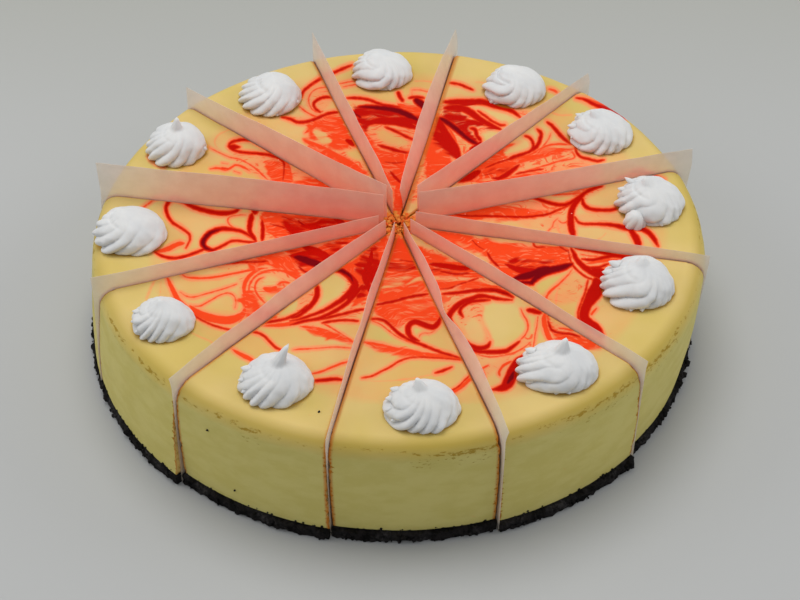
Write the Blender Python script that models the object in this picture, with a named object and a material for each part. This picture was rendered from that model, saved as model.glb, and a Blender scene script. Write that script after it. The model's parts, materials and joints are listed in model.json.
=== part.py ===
"""Baked cheesecake, cut in twelve slices on a crumb crust, with a paper sheet in each cut
and a piped cream rosette on each slice. Metres, +Z up, resting on z = 0."""
import math
import random

import bmesh
import bpy

# The round cake
TOP_RADIUS = 0.125
HEIGHT = 0.052
SHOULDER_RADIUS = 0.0075
CRUST_THICKNESS = 0.0047
LAYER_GAP = 0.0003
# Where the cuts meet, from the middle of the whole footprint
CAKE_AXIS = (0.00253, -0.00065)

# The cuts
HALF_CUT = 0.0008
SLICE_TIP_RADIUS = 0.0062
FILLING_COLUMNS = 10
WALL_STEPS = (1 / 3, 2 / 3)
WALL_BELLY = 0.0006
SHOULDER_STEPS = 4
TOP_RINGS = (0.104, 0.070, 0.036)

# The crust
CRUST_COLUMNS = 16
CRUST_NOTCH = 0.0007
CRUST_CRUMB = 0.0011
CRUST_EDGE_HEIGHTS = (0.0003, 0.0018, 0.0036)

# The paper sheets
PAPER_HALF_THICKNESS = 0.00015
PAPER_COLUMNS = 8
# Height of each row of points: a share of the cake's height, and a share of the rise above it
PAPER_ROWS = ((0.0, 0.0), (0.5, 0.0), (1.0, 0.04), (1.0, 0.5), (1.0, 1.0))
PAPER_WAVE = 0.00022
WAVE_ALONG = 7.0
WAVE_UP = 2.0
LEAN_BEND = 1.4
PAPER_OVERHANG = 0.0012

# The cream rosettes
FLUTES = 12
FLUTE_SPREAD = 0.25
TIP_BEND = 3
CREAM_LIFT = 0.0003
# Radius and height of each ring up a rosette, as shares of its size
CREAM_RINGS = (
    (0.88, 0.00), (0.99, 0.10), (1.00, 0.26), (0.93, 0.44), (0.79, 0.61),
    (0.60, 0.77), (0.38, 0.90), (0.20, 1.00), (0.09, 1.06),
)
FLUTE_DEPTHS = (0.09, 0.13, 0.15, 0.16, 0.17, 0.17, 0.16, 0.10, 0.04)

# One row a slice, starting at the right and going round to the left.
# Foot radius of the filling, and how far the crust stands out from it.
SLICES = (
    (0.1225, 0.0010), (0.1235, 0.0012), (0.1245, 0.0014), (0.1255, 0.0014),
    (0.1270, 0.0010), (0.1286, 0.0006), (0.1282, 0.0007), (0.1248, 0.0015),
    (0.1229, 0.0015), (0.1244, 0.0015), (0.1216, 0.0011), (0.1215, 0.0012),
)

# One row a cut, in the same order: angle in degrees, rise above the top at the rim and at
# the middle, lean of the upper edge at the rim, half way and at the middle, inner end, rim.
CUTS = (
    (16.3, 0.0085, 0.0145, 0.0010, 0.0000, 0.0000, 0.0090, 0.1292),
    (48.2, 0.0045, 0.0130, 0.0012, 0.0005, 0.0000, 0.0120, 0.1286),
    (77.6, 0.0080, 0.0095, 0.0008, 0.0040, 0.0012, 0.0105, 0.1290),
    (108.2, 0.0135, 0.0118, 0.0000, -0.0006, 0.0000, 0.0078, 0.1225),
    (138.5, 0.0095, 0.0172, 0.0000, 0.0004, 0.0000, 0.0062, 0.1230),
    (170.4, 0.0172, 0.0148, 0.0012, 0.0000, 0.0000, 0.0060, 0.1255),
    (198.5, 0.0075, 0.0072, -0.0005, 0.0006, 0.0000, 0.0085, 0.1268),
    (227.7, 0.0045, 0.0068, -0.0010, -0.0032, -0.0003, 0.0075, 0.1262),
    (257.8, 0.0050, 0.0078, 0.0004, -0.0014, -0.0002, 0.0080, 0.1272),
    (287.3, 0.0058, 0.0072, 0.0014, 0.0026, -0.0004, 0.0078, 0.1284),
    (317.1, 0.0048, 0.0070, 0.0010, 0.0010, 0.0000, 0.0070, 0.1264),
    (348.3, 0.0035, 0.0078, 0.0006, 0.0004, 0.0000, 0.0072, 0.1264),
)

# One row a rosette: distance from the axis, angle in degrees, half width, half depth,
# height, height of the tip above it, twist in degrees, and how far the tip leans in X and Y.
CREAMS = (
    (0.1045, 33.2, 0.0137, 0.0126, 0.0110, 0.0016, 80, -0.0040, 0.0018),
    (0.1038, 59.7, 0.0133, 0.0122, 0.0108, 0.0006, 130, -0.0034, 0.0020),
    (0.1030, 93.6, 0.0132, 0.0123, 0.0106, 0.0008, 105, -0.0030, 0.0014),
    (0.1016, 123.3, 0.0131, 0.0126, 0.0112, 0.0009, 95, 0.0012, 0.0022),
    (0.1065, 152.0, 0.0127, 0.0123, 0.0118, 0.0042, 90, 0.0006, 0.0024),
    (0.1085, 183.3, 0.0143, 0.0126, 0.0112, 0.0010, 110, -0.0026, 0.0020),
    (0.1080, 212.8, 0.0117, 0.0104, 0.0104, 0.0012, 90, -0.0008, 0.0022),
    (0.1023, 243.4, 0.0135, 0.0124, 0.0112, 0.0064, 75, 0.0052, 0.0044),
    (0.1056, 274.6, 0.0138, 0.0116, 0.0114, 0.0022, 100, -0.0020, 0.0034),
    (0.1045, 304.9, 0.0149, 0.0121, 0.0110, 0.0030, 85, 0.0020, 0.0030),
    (0.1023, 337.3, 0.0140, 0.0130, 0.0114, 0.0020, 80, 0.0012, 0.0036),
    (0.1045, 5.9, 0.0133, 0.0130, 0.0112, 0.0014, 70, -0.0024, 0.0020),
)


def material(name, colour, roughness):
    """Return a plain material with the given colour and roughness."""
    made = bpy.data.materials.new(name)
    made.use_nodes = True
    shader = made.node_tree.nodes["Principled BSDF"]
    shader.inputs["Base Color"].default_value = (*colour, 1.0)
    shader.inputs["Roughness"].default_value = roughness
    shader.inputs["Metallic"].default_value = 0.0
    return made


def add_object(name, mesh_edit, finish, parent):
    """Turn an edited mesh into a named object with its faces pointing out."""
    bmesh.ops.recalc_face_normals(mesh_edit, faces=mesh_edit.faces)
    mesh = bpy.data.meshes.new(name)
    mesh_edit.to_mesh(mesh)
    mesh_edit.free()
    mesh.materials.append(finish)
    made = bpy.data.objects.new(name, mesh)
    bpy.context.collection.objects.link(made)
    made.parent = parent
    return made


def polar(radius, angle, z):
    """Return the point at a radius and an angle in radians round the cake's axis."""
    return (radius * math.cos(angle), radius * math.sin(angle), z)


def between(start, end, share):
    """Return the value a share of the way from start to end."""
    return start + (end - start) * share


def slice_angle(radius, start, end, share):
    """Angle a share of the way across a slice whose sides stand half a cut from its cuts."""
    edge = math.asin(HALF_CUT / radius)
    return between(start + edge, end - edge, share)


def loft_across(outline_at, columns):
    """Join copies of a closed outline, one a column, and close both ends."""
    mesh_edit = bmesh.new()
    loops = []
    for column in range(columns + 1):
        loops.append([mesh_edit.verts.new(point) for point in outline_at(column)])
    size = len(loops[0])
    for left, right in zip(loops, loops[1:]):
        for row in range(size):
            following = (row + 1) % size
            mesh_edit.faces.new((left[row], left[following], right[following], right[row]))
    mesh_edit.faces.new(loops[0])
    mesh_edit.faces.new(list(reversed(loops[-1])))
    return mesh_edit


def filling_profile(foot_radius):
    """Radius and height of a slice's outline, from its tip's foot out, up and back in."""
    foot = CRUST_THICKNESS + LAYER_GAP
    shoulder_foot = HEIGHT - SHOULDER_RADIUS
    profile = [(SLICE_TIP_RADIUS, foot), (foot_radius, foot)]
    for share in WALL_STEPS:
        belly = WALL_BELLY * math.sin(math.pi * share)
        radius = between(foot_radius, TOP_RADIUS, share) + belly
        profile.append((radius, between(foot, shoulder_foot, share)))
    for step in range(SHOULDER_STEPS + 1):
        turn = math.pi / 2 * step / SHOULDER_STEPS
        profile.append((
            TOP_RADIUS - SHOULDER_RADIUS * (1 - math.cos(turn)),
            shoulder_foot + SHOULDER_RADIUS * math.sin(turn),
        ))
    for radius in (*TOP_RINGS, SLICE_TIP_RADIUS):
        profile.append((radius, HEIGHT))
    return profile


def make_filling(name, start, end, foot_radius, finish, parent):
    """Build one slice of the filling between two cuts."""
    profile = filling_profile(foot_radius)

    def outline_at(column):
        share = column / FILLING_COLUMNS
        return [polar(r, slice_angle(r, start, end, share), z) for r, z in profile]

    return add_object(name, loft_across(outline_at, FILLING_COLUMNS), finish, parent)


def make_crust(name, start, end, foot_radius, stand_out, finish, parent):
    """Build one slice of the crust, with a ragged outer edge."""
    edge_radius = foot_radius + stand_out

    def outline_at(column):
        share = column / CRUST_COLUMNS
        rim = [(foot_radius, 0.0)]
        for z in CRUST_EDGE_HEIGHTS:
            rim.append((edge_radius + random.uniform(-CRUST_NOTCH, CRUST_CRUMB), z))
        rim.append((foot_radius, CRUST_THICKNESS))
        profile = [(SLICE_TIP_RADIUS, 0.0), *rim, (SLICE_TIP_RADIUS, CRUST_THICKNESS)]
        return [polar(r, slice_angle(r, start, end, share), z) for r, z in profile]

    return add_object(name, loft_across(outline_at, CRUST_COLUMNS), finish, parent)


def make_paper(name, cut, foot_radius, finish, parent):
    """Build the thin wavy sheet that stands in one cut and leans above the top."""
    degrees, rim_rise, tip_rise, rim_lean, mid_lean, tip_lean, inner_radius, rim_radius = cut
    angle = math.radians(degrees)
    along = (math.cos(angle), math.sin(angle))
    across = (-along[1], along[0])
    phase = random.uniform(0.0, 2 * math.pi)
    foot_rim = foot_radius + PAPER_OVERHANG

    def sheet_point(column, row, side):
        share = column / PAPER_COLUMNS
        height_share, rise_share = PAPER_ROWS[row]
        outer = between(foot_rim, rim_radius, height_share)
        radius = between(inner_radius, outer, share)
        rise = between(tip_rise, rim_rise, share)
        z = HEIGHT * height_share + rise * rise_share
        lean = (
            tip_lean * (1 - share) * (1 - 2 * share)
            + mid_lean * 4 * share * (1 - share)
            + rim_lean * share * (2 * share - 1)
        )
        wave = PAPER_WAVE * math.sin(phase + WAVE_ALONG * share + WAVE_UP * height_share)
        offset = side * PAPER_HALF_THICKNESS + wave + lean * rise_share ** LEAN_BEND
        return (
            radius * along[0] + offset * across[0],
            radius * along[1] + offset * across[1],
            z,
        )

    mesh_edit = bmesh.new()
    sides = []
    for side in (-1, 1):
        sides.append([
            [mesh_edit.verts.new(sheet_point(column, row, side)) for row in range(len(PAPER_ROWS))]
            for column in range(PAPER_COLUMNS + 1)
        ])
    front, back = sides
    last_row = len(PAPER_ROWS) - 1
    for sheet in sides:
        for column in range(PAPER_COLUMNS):
            for row in range(last_row):
                low_near = sheet[column][row]
                low_far = sheet[column + 1][row]
                high_far = sheet[column + 1][row + 1]
                high_near = sheet[column][row + 1]
                mesh_edit.faces.new((low_near, low_far, high_far))
                mesh_edit.faces.new((low_near, high_far, high_near))
    border = [(column, 0) for column in range(PAPER_COLUMNS)]
    border += [(PAPER_COLUMNS, row) for row in range(last_row)]
    border += [(column, last_row) for column in range(PAPER_COLUMNS, 0, -1)]
    border += [(0, row) for row in range(last_row, 0, -1)]
    for (column, row), (next_column, next_row) in zip(border, border[1:] + border[:1]):
        mesh_edit.faces.new((
            front[column][row], front[next_column][next_row],
            back[next_column][next_row], back[column][row],
        ))
    return add_object(name, mesh_edit, finish, parent)


def make_cream(name, row, finish, parent):
    """Build one piped rosette: twisted flutes that rise to a leaning tip."""
    distance, degrees, half_width, half_depth, height, tip, twist, lean_x, lean_y = row
    around = 2 * FLUTES
    start = random.uniform(0.0, 2 * math.pi)
    flute_sizes = [1 + random.uniform(-FLUTE_SPREAD, FLUTE_SPREAD) for _ in range(FLUTES)]
    tip_height = height * CREAM_RINGS[-1][1] + tip
    mesh_edit = bmesh.new()
    rings = []
    for (radius_share, height_share), depth in zip(CREAM_RINGS, FLUTE_DEPTHS):
        turned = start + math.radians(twist) * (1 - radius_share)
        lean_share = (height * height_share / tip_height) ** TIP_BEND
        ring = []
        for step in range(around):
            angle = turned + 2 * math.pi * step / around
            ridge = depth / 2 if step % 2 else -depth / 2
            share = radius_share * (1 + ridge * flute_sizes[step // 2])
            ring.append(mesh_edit.verts.new((
                half_width * share * math.cos(angle) + lean_x * lean_share,
                half_depth * share * math.sin(angle) + lean_y * lean_share,
                height * height_share,
            )))
        rings.append(ring)
    for lower, upper in zip(rings, rings[1:]):
        for step in range(around):
            following = (step + 1) % around
            mesh_edit.faces.new((lower[step], lower[following], upper[following], upper[step]))
    top = mesh_edit.verts.new((lean_x, lean_y, tip_height))
    for step in range(around):
        mesh_edit.faces.new((rings[-1][step], rings[-1][(step + 1) % around], top))
    mesh_edit.faces.new(rings[0])
    made = add_object(name, mesh_edit, finish, parent)
    made.location = polar(distance, math.radians(degrees), HEIGHT + CREAM_LIFT)
    return made


def main():
    for leftover in list(bpy.data.objects):
        bpy.data.objects.remove(leftover)
    random.seed(12)
    filling = material("filling", (0.62, 0.47, 0.16), 0.45)
    crust = material("crust", (0.012, 0.011, 0.010), 0.85)
    paper = material("paper", (0.62, 0.50, 0.40), 0.55)
    cream = material("cream", (0.80, 0.80, 0.79), 0.50)
    cake = bpy.data.objects.new("cake_axis", None)
    bpy.context.collection.objects.link(cake)
    cake.location = (*CAKE_AXIS, 0.0)
    count = len(CUTS)
    for index in range(count):
        number = f"{index + 1:02d}"
        start = math.radians(CUTS[index][0])
        end = math.radians(CUTS[(index + 1) % count][0])
        if end < start:
            end += 2 * math.pi
        foot_radius, stand_out = SLICES[index]
        make_filling(f"filling_{number}", start, end, foot_radius, filling, cake)
        make_crust(f"crust_{number}", start, end, foot_radius, stand_out, crust, cake)
        cut_foot = max(foot_radius, SLICES[index - 1][0])
        make_paper(f"paper_{number}", CUTS[index], cut_foot, paper, cake)
        make_cream(f"cream_{number}", CREAMS[index], cream, cake)


main()
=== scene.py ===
"""The looks of a baked cheesecake: marbled filling, crumb crust, paper sheets, piped cream.
Metres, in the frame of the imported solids."""
import json
import math
import random

import bmesh
import bpy
import numpy as np
from mathutils import Matrix, Vector, noise

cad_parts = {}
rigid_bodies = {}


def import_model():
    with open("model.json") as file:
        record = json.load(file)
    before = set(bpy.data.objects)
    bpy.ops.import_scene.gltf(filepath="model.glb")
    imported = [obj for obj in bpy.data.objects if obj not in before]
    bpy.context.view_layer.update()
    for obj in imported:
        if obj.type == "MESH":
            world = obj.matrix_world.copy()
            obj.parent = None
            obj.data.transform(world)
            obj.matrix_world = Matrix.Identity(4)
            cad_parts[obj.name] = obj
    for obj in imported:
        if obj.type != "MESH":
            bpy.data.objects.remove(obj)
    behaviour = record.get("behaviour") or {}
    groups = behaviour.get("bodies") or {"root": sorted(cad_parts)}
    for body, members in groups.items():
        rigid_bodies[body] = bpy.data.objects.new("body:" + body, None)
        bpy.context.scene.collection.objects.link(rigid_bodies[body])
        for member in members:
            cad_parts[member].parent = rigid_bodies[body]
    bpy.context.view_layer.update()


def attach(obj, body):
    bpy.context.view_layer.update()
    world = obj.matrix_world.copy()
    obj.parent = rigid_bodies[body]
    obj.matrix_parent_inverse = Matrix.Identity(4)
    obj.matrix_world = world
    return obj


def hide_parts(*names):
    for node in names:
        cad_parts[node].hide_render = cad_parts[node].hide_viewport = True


# The round cake, as in the solids
TOP_RADIUS = 0.125
HEIGHT = 0.052
SHOULDER_RADIUS = 0.0075
FLAT_RADIUS = TOP_RADIUS - SHOULDER_RADIUS
CRUST_THICKNESS = 0.0047
LAYER_GAP = 0.0003
CAKE_AXIS = (0.00253, -0.00065)
SLICE_TIP_RADIUS = 0.0062
TORN_TIP_RADIUS = 0.0032
WALL_BELLY = 0.0006
NEAR_ZERO = 1e-6

# Half the width of an open cut, and what it narrows to at the torn middle
HALF_CUT = 0.0004
TIP_HALF_CUT = 0.0003

# The camera that fits the photograph, with its target measured from the cake's axis
IMAGE_SIZE = (800, 600)
FOCAL_PIXELS = 1900.6
SENSOR_WIDTH = 36.0
ELEVATION = math.radians(42.922)
ROLL = math.radians(-0.393)
DISTANCE = 0.78273
TARGET = (0.0005, -0.0166, 0.025)
NEAREST_SEEN = 0.01
FARTHEST_SEEN = 20.0

# Spacing of the points of the filling
SWIRL_STEP = 0.00038
SWIRL_RADIUS = 0.101
PLAIN_STEP = 0.0008
TIP_ROWS = 14
SHOULDER_ROWS = 14
LEAST_COLUMNS = 6

# Relief: rows of size, height as a share, and seed of the noise
TOP_UNEVEN = 0.00018
TOP_WAVES = ((0.020, 1.0, 0.0), (0.005, 0.35, 3.0))
WALL_UNEVEN = 0.00030
WALL_WAVES = ((0.018, 1.0, 0.0), (0.004, 0.3, 5.0))
EDGE_ROUND = 0.0007
EDGE_DROP = 0.0004
# Nicks in the wall's edges at the cuts
NICK_DEPTH = 0.0009
NICK_WIDTH = NICK_DEPTH * 1.5
NICK_WAVES = ((0.0018, 1.0, 9.0),)
NICK_MORE = 0.1

# Where the filling's colours lie
SWIRL_FALL = 0.004
WALL_FALL = 0.001
WALL_FADE = 0.006
EDGE_FALL = 0.002
NICK_REACH = 0.0032
# Painted shade round the foot of each rosette: how far below the top it stops, how far out it reaches, and
# how sharply it fades
CONTACT_FALL = 0.003
CONTACT_REACH = 0.0014
CONTACT_POWER = 1.5
TORN_REACH = 0.0098
# Painted shade just under the rim: a darker gold band, strongest on the front side towards minus Y; its
# band, fade and curve, then the side, mean and sway of its strength
RIM_BAND = 0.0018
RIM_FADE = 0.0050
RIM_POWER = 0.7
SHADED_SIDE = math.radians(285)
SHADE_MEAN = 0.55
SHADE_SWAY = 0.45
# Painted shade of the open gap beside each sheet, orange-brown along the top's cut edges: its width,
# strength and curve
GAP_SHADE_REACH = 0.0005
GAP_SHADE_STRENGTH = 0.85
GAP_SHADE_POWER = 0.45
# Wider bands of painted gap shade: cut, whether on the slice before it (True) or after it, and the width
WIDE_GAP_SHADES = (
    (3, True, 0.0022), (4, False, 0.0011), (9, True, 0.0016), (9, False, 0.0014), (8, False, 0.0011),
    (10, True, 0.0011),
)

# Torn lumps at the tip of each slice: how many, their sizes, radii and heights
TORN_LUMPS = 16
TORN_SIZES = (0.0004, 0.0011)
TORN_RADII = (0.0012, 0.0064)
TORN_HEIGHTS = (0.0492, 0.0527)

# Foot radius of each slice's filling, and how far its crust stands out
SLICES = (
    (0.1225, 0.0010), (0.1235, 0.0012), (0.1245, 0.0014), (0.1255, 0.0014),
    (0.1270, 0.0010), (0.1286, 0.0006), (0.1282, 0.0007), (0.1248, 0.0015),
    (0.1229, 0.0015), (0.1244, 0.0015), (0.1216, 0.0011), (0.1215, 0.0012),
)

# One row a cut: angle in degrees, rise above the top at the rim and at the middle, lean of
# the upper edge at the rim, half way and at the middle, inner end, rim.
CUTS = (
    (16.3, 0.0085, 0.0145, 0.0010, 0.0000, 0.0000, 0.0090, 0.1292),
    (48.2, 0.0045, 0.0130, 0.0012, 0.0005, 0.0000, 0.0120, 0.1286),
    (77.6, 0.0080, 0.0095, 0.0008, 0.0040, 0.0012, 0.0105, 0.1290),
    (108.2, 0.0135, 0.0118, 0.0000, -0.0006, 0.0000, 0.0078, 0.1225),
    (138.5, 0.0095, 0.0172, 0.0000, 0.0004, 0.0000, 0.0062, 0.1230),
    (170.4, 0.0172, 0.0148, 0.0012, 0.0000, 0.0000, 0.0060, 0.1255),
    (198.5, 0.0075, 0.0072, -0.0005, 0.0006, 0.0000, 0.0085, 0.1268),
    (227.7, 0.0045, 0.0068, -0.0010, -0.0032, -0.0003, 0.0075, 0.1262),
    (257.8, 0.0050, 0.0078, 0.0004, -0.0005, 0.0002, 0.0080, 0.1272),
    (287.3, 0.0058, 0.0072, 0.0014, 0.0026, -0.0004, 0.0078, 0.1284),
    (317.1, 0.0048, 0.0070, 0.0010, 0.0010, 0.0000, 0.0070, 0.1264),
    (348.3, 0.0035, 0.0078, 0.0006, 0.0004, 0.0000, 0.0072, 0.1264),
)

# The paper sheets: how far each stands out at its foot, their points, waves and crinkles
FOOT_OVERHANGS = (
    0.0012, 0.0012, 0.0012, 0.0012, 0.0012, 0.0012, 0.0006, -0.0018, -0.0006, 0.0009, 0.0004, 0.0010,
)
PAPER_HALF_THICKNESS = 0.00010
PAPER_COLUMNS = 64
PAPER_ROWS_IN_CUT = 8
PAPER_ROWS_ABOVE = 12
PAPER_WAVE = 0.00022
WAVE_ALONG = 7.0
WAVE_UP = 2.0
PAPER_CRINKLE = 0.00035
CRINKLE_SHIFT = 0.1
UPPER_CRINKLE = 0.012
OUTER_CRINKLE = 0.009
OUTSIDE_START = 0.0015
OUTSIDE_SPAN = 0.003
LEAN_START = 0.04
LEAN_BEND = 1.4
# Where a sheet turns over: sheet, share of its length, spread, and lean added there
TWISTS = (
    (10, 0.45, 0.085, -0.0032), (9, 0.30, 0.10, -0.0006), (8, 0.62, 0.12, 0.0010), (11, 0.70, 0.10, -0.0007),
)
# The swirl's red in a sheet, partly a real stain and partly a painted red glow that the filling throws onto
# it, shows up to a radius, fading over a span inwards and upwards
STAIN_AND_GLOW_RADIUS = 0.124
STAIN_AND_GLOW_SPAN = 0.085
STAIN_AND_GLOW_POWER = 0.8
STAIN_AND_GLOW_LOSS = 0.35

# One row a rosette: distance from the axis, angle in degrees, half width, half depth,
# height, height of the tip above it, twist in degrees, and how far the tip leans in X and Y.
CREAMS = (
    (0.1045, 33.2, 0.0137, 0.0126, 0.0104, 0.0022, 60, -0.0046, 0.0030),
    (0.1038, 59.7, 0.0133, 0.0122, 0.0112, 0.0002, 75, -0.0034, 0.0020),
    (0.1030, 93.6, 0.0132, 0.0123, 0.0106, 0.0006, 65, -0.0030, 0.0014),
    (0.1016, 123.3, 0.0131, 0.0126, 0.0112, 0.0006, 65, 0.0012, 0.0022),
    (0.1065, 152.0, 0.0127, 0.0123, 0.0114, 0.0046, 60, 0.0006, 0.0024),
    (0.1085, 183.3, 0.0143, 0.0126, 0.0114, 0.0006, 70, -0.0026, 0.0020),
    (0.1080, 212.8, 0.0117, 0.0104, 0.0104, 0.0012, 60, -0.0008, 0.0022),
    (0.1023, 243.4, 0.0135, 0.0124, 0.0110, 0.0066, 55, 0.0052, 0.0044),
    (0.1056, 274.6, 0.0138, 0.0116, 0.0108, 0.0032, 70, -0.0020, 0.0036),
    (0.1045, 304.9, 0.0149, 0.0121, 0.0106, 0.0044, 65, 0.0024, 0.0034),
    (0.1023, 337.3, 0.0140, 0.0130, 0.0116, 0.0022, 60, 0.0012, 0.0036),
    (0.1045, 5.9, 0.0133, 0.0130, 0.0112, 0.0022, 55, -0.0030, 0.0024),
)
CREAM_COLUMNS = 150
CREAM_ROWS = 50
CREAM_SINK = 0.0004
TIP_BEND = 3
# The rosette's outline: shares of its radius and height, and depth of the ridges there
CREAM_RINGS = (
    (0.90, 0.00, 0.14), (0.99, 0.09, 0.165), (1.00, 0.22, 0.175), (0.95, 0.40, 0.150), (0.84, 0.58, 0.110),
    (0.67, 0.75, 0.062), (0.48, 0.87, 0.028), (0.32, 0.94, 0.012), (0.21, 0.99, 0.005),
)
# The peak: share of the radius, share of the tip's height, and depth of the ridges
TIP_RINGS = ((0.150, 0.34, 0.004), (0.072, 0.80, 0.0))
# Ridges: their number on each rosette, how they differ, their shape, turn and lift
RIDGE_COUNTS = (12, 11, 12, 12, 12, 11, 12, 12, 12, 12, 13, 12)
RIDGE_SPREAD = 0.45
RIDGE_BEND = 0.60
RIDGE_TURN = 1.60
RIDGE_LIFT = 0.5
RIDGE_LOSS = 0.35
SWING_TWICE = 0.11
SWING_THRICE = 0.07
# Direction of the side with the deepest ridges, and how strong they are round the rosette
RIDGE_SIDE = math.radians(215)
LEAST_RIDGE = 0.12
MEAN_RIDGE = 0.58
RIDGE_SWAY = 0.60
# Lumps and creases of the cream
SLOPE_START = 0.15
LUMP_ROUND = 1.3
LUMP_UP = 1.6
BROAD_LUMP = 0.085
FINE_LUMP = 0.035
FINE_LUMP_SCALE = 3.1
CREASE = 0.05
CREASE_SCALE = 1.7
# The last turn of the piping leaves a groove on the top: its depth on each rosette, its
# width, where it starts and ends round the rosette, and its radius as a share
FOLD_DEPTHS = (
    0.0003, 0.0008, 0.0004, 0.0008, 0.0003, 0.0005, 0.0003, 0.0003, 0.0002, 0.0003, 0.0003, 0.0005,
)
FOLD_WIDTH = 0.055
FOLD_START = 1.2
FOLD_SPAN = 3.6
FOLD_INNER = 0.20
FOLD_GROWTH = 0.40
# Largest seed of a noise
SEED_RANGE = 50

# Tufts that the piping left: rosette, angle in degrees, height, length beyond the rosette,
# half width, and how far the end is drawn upwards.
TUFTS = (
    (1, 178, 0.0052, 0.0022, 0.0013, 0.0006), (1, 200, 0.0034, 0.0013, 0.0013, 0.0000),
    (1, 222, 0.0020, 0.0014, 0.0015, -0.0004), (1, 246, 0.0016, 0.0011, 0.0014, -0.0003),
    (1, 300, 0.0022, 0.0010, 0.0022, -0.0004), (1, 150, 0.0070, 0.0014, 0.0012, 0.0008),
    (2, 205, 0.0018, 0.0013, 0.0015, -0.0003), (2, 226, 0.0014, 0.0009, 0.0014, -0.0002),
    (3, 250, 0.0016, 0.0010, 0.0014, -0.0003), (3, 285, 0.0016, 0.0012, 0.0015, -0.0003),
    (4, 262, 0.0016, 0.0012, 0.0014, -0.0003), (4, 284, 0.0016, 0.0013, 0.0012, -0.0003),
    (4, 335, 0.0030, 0.0012, 0.0018, 0.0000), (5, 345, 0.0030, 0.0010, 0.0016, 0.0000),
    (7, 172, 0.0056, 0.0014, 0.0012, 0.0004), (7, 192, 0.0042, 0.0013, 0.0012, 0.0002),
    (7, 214, 0.0028, 0.0012, 0.0013, 0.0000), (7, 262, 0.0014, 0.0008, 0.0014, -0.0003),
    (8, 168, 0.0062, 0.0015, 0.0013, 0.0004), (8, 188, 0.0046, 0.0014, 0.0013, 0.0002),
    (8, 208, 0.0032, 0.0015, 0.0013, 0.0000), (8, 230, 0.0020, 0.0012, 0.0014, -0.0003),
    (8, 285, 0.0014, 0.0010, 0.0016, -0.0003), (9, 160, 0.0072, 0.0013, 0.0013, 0.0005),
    (9, 178, 0.0060, 0.0013, 0.0012, 0.0003), (9, 196, 0.0045, 0.0014, 0.0012, 0.0001),
    (9, 214, 0.0030, 0.0013, 0.0013, -0.0002), (9, 234, 0.0020, 0.0010, 0.0013, -0.0003),
    (10, 158, 0.0070, 0.0013, 0.0013, 0.0005), (10, 176, 0.0056, 0.0013, 0.0012, 0.0002),
    (10, 194, 0.0042, 0.0013, 0.0012, 0.0000), (10, 212, 0.0030, 0.0011, 0.0013, -0.0002),
    (10, 262, 0.0014, 0.0008, 0.0015, -0.0003), (10, 285, 0.0014, 0.0009, 0.0014, -0.0003),
    (11, 150, 0.0080, 0.0026, 0.0014, 0.0004), (11, 168, 0.0062, 0.0024, 0.0014, 0.0000),
    (11, 188, 0.0044, 0.0014, 0.0013, -0.0002), (11, 252, 0.0014, 0.0022, 0.0013, -0.0005),
    (11, 270, 0.0014, 0.0018, 0.0012, -0.0004), (11, 296, 0.0020, 0.0010, 0.0016, -0.0003),
    (12, 148, 0.0086, 0.0028, 0.0011, 0.0014), (12, 166, 0.0064, 0.0024, 0.0013, 0.0004),
    (12, 186, 0.0044, 0.0012, 0.0012, 0.0000), (12, 284, 0.0016, 0.0020, 0.0018, -0.0004),
    (12, 305, 0.0018, 0.0014, 0.0018, -0.0003),
)
TUFT_COLUMNS = 10
TUFT_ROWS = 8
TUFT_ROOT = 0.0030
TUFT_TIP = 0.0001
TUFT_TAPER = 2.4
TUFT_LENGTH = 0.8
TUFT_WIDTH = 1.5
TUFT_FLATNESS = 0.75

# Small extra blobs: rosette, angle in degrees, distance from the rosette's middle, half width, height
BLOBS = (
    (12, 236, 0.0132, 0.0044, 0.0060), (11, 246, 0.0112, 0.0028, 0.0034),
    (1, 226, 0.0112, 0.0026, 0.0034), (2, 214, 0.0112, 0.0028, 0.0032),
)
BLOB_COLUMNS = 56
BLOB_ROWS = 16
BLOB_ROUND = 1.15
BLOB_RIDGES = 7
BLOB_RIDGE = 0.22
BLOB_TURN = 1.1
BLOB_LUMP = 0.12

# The crust's points, with the radii of its rows under the filling
CRUST_STEP = 0.0007
CRUST_RADII = (SLICE_TIP_RADIUS, 0.05, 0.10)
CRUST_LOWER_BEVEL = 0.0012
CRUST_UPPER_BEVEL = 0.0010
CRUST_FOOT_RISE = 0.0001
CRUST_ROUNDING = 0.0004
CRUST_EDGE_ROWS = 9
CRUST_TUCK = 0.002
# Its crumbly edge
CRUST_CRUMB = 0.0014
CRUST_OUT = 0.15
CRUST_WAVES = ((0.0035, 0.55, 0.0), (0.0013, 0.45, 4.0))
CRUST_SMOOTH = 0.001
CRUST_ROUGH = 0.0007
ROUGH_WAVES = ((0.0016, 1.0, 8.0),)
RAGGED_WAVES = ((0.0030, 1.0, 6.0),)
CRUST_COVER = 0.0002
LEAST_HEIGHT = 0.00005
# Loose crumbs of each slice, from just inside to just outside the crust's edge
CRUMBS_A_SLICE = 60
CRUMB_SIZES = (0.0003, 0.0009)
CRUMB_PLACES = (-0.0004, 0.0006)
CRUMB_HEIGHTS = (0.0002, 0.0046)
# Crumbs that stick to the filling over the crust's upper edge
UPPER_CRUMBS = 26
UPPER_SIZES = (0.0003, 0.0007)
UPPER_PLACES = (-0.0001, 0.0004)
UPPER_HEIGHTS = (0.0044, 0.0060)
# Big chunks of crumb along each slice's foot
CHUNKS = (8, 6, 6, 8, 9, 9, 8, 9, 6, 5, 12, 14)
CHUNK_SIZES = (0.0009, 0.0016)
CHUNK_PLACES = (-0.0003, 0.0005)
CHUNK_HEIGHTS = (0.0012, 0.0040)
# Every lump: its share across the slice, how uneven it is, and how it rests
LUMP_SHARES = (0.03, 0.97)
LUMP_GROWTH = (0.65, 1.2)
LUMP_REST = 0.75
LUMP_FLOOR = 0.00002
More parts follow.
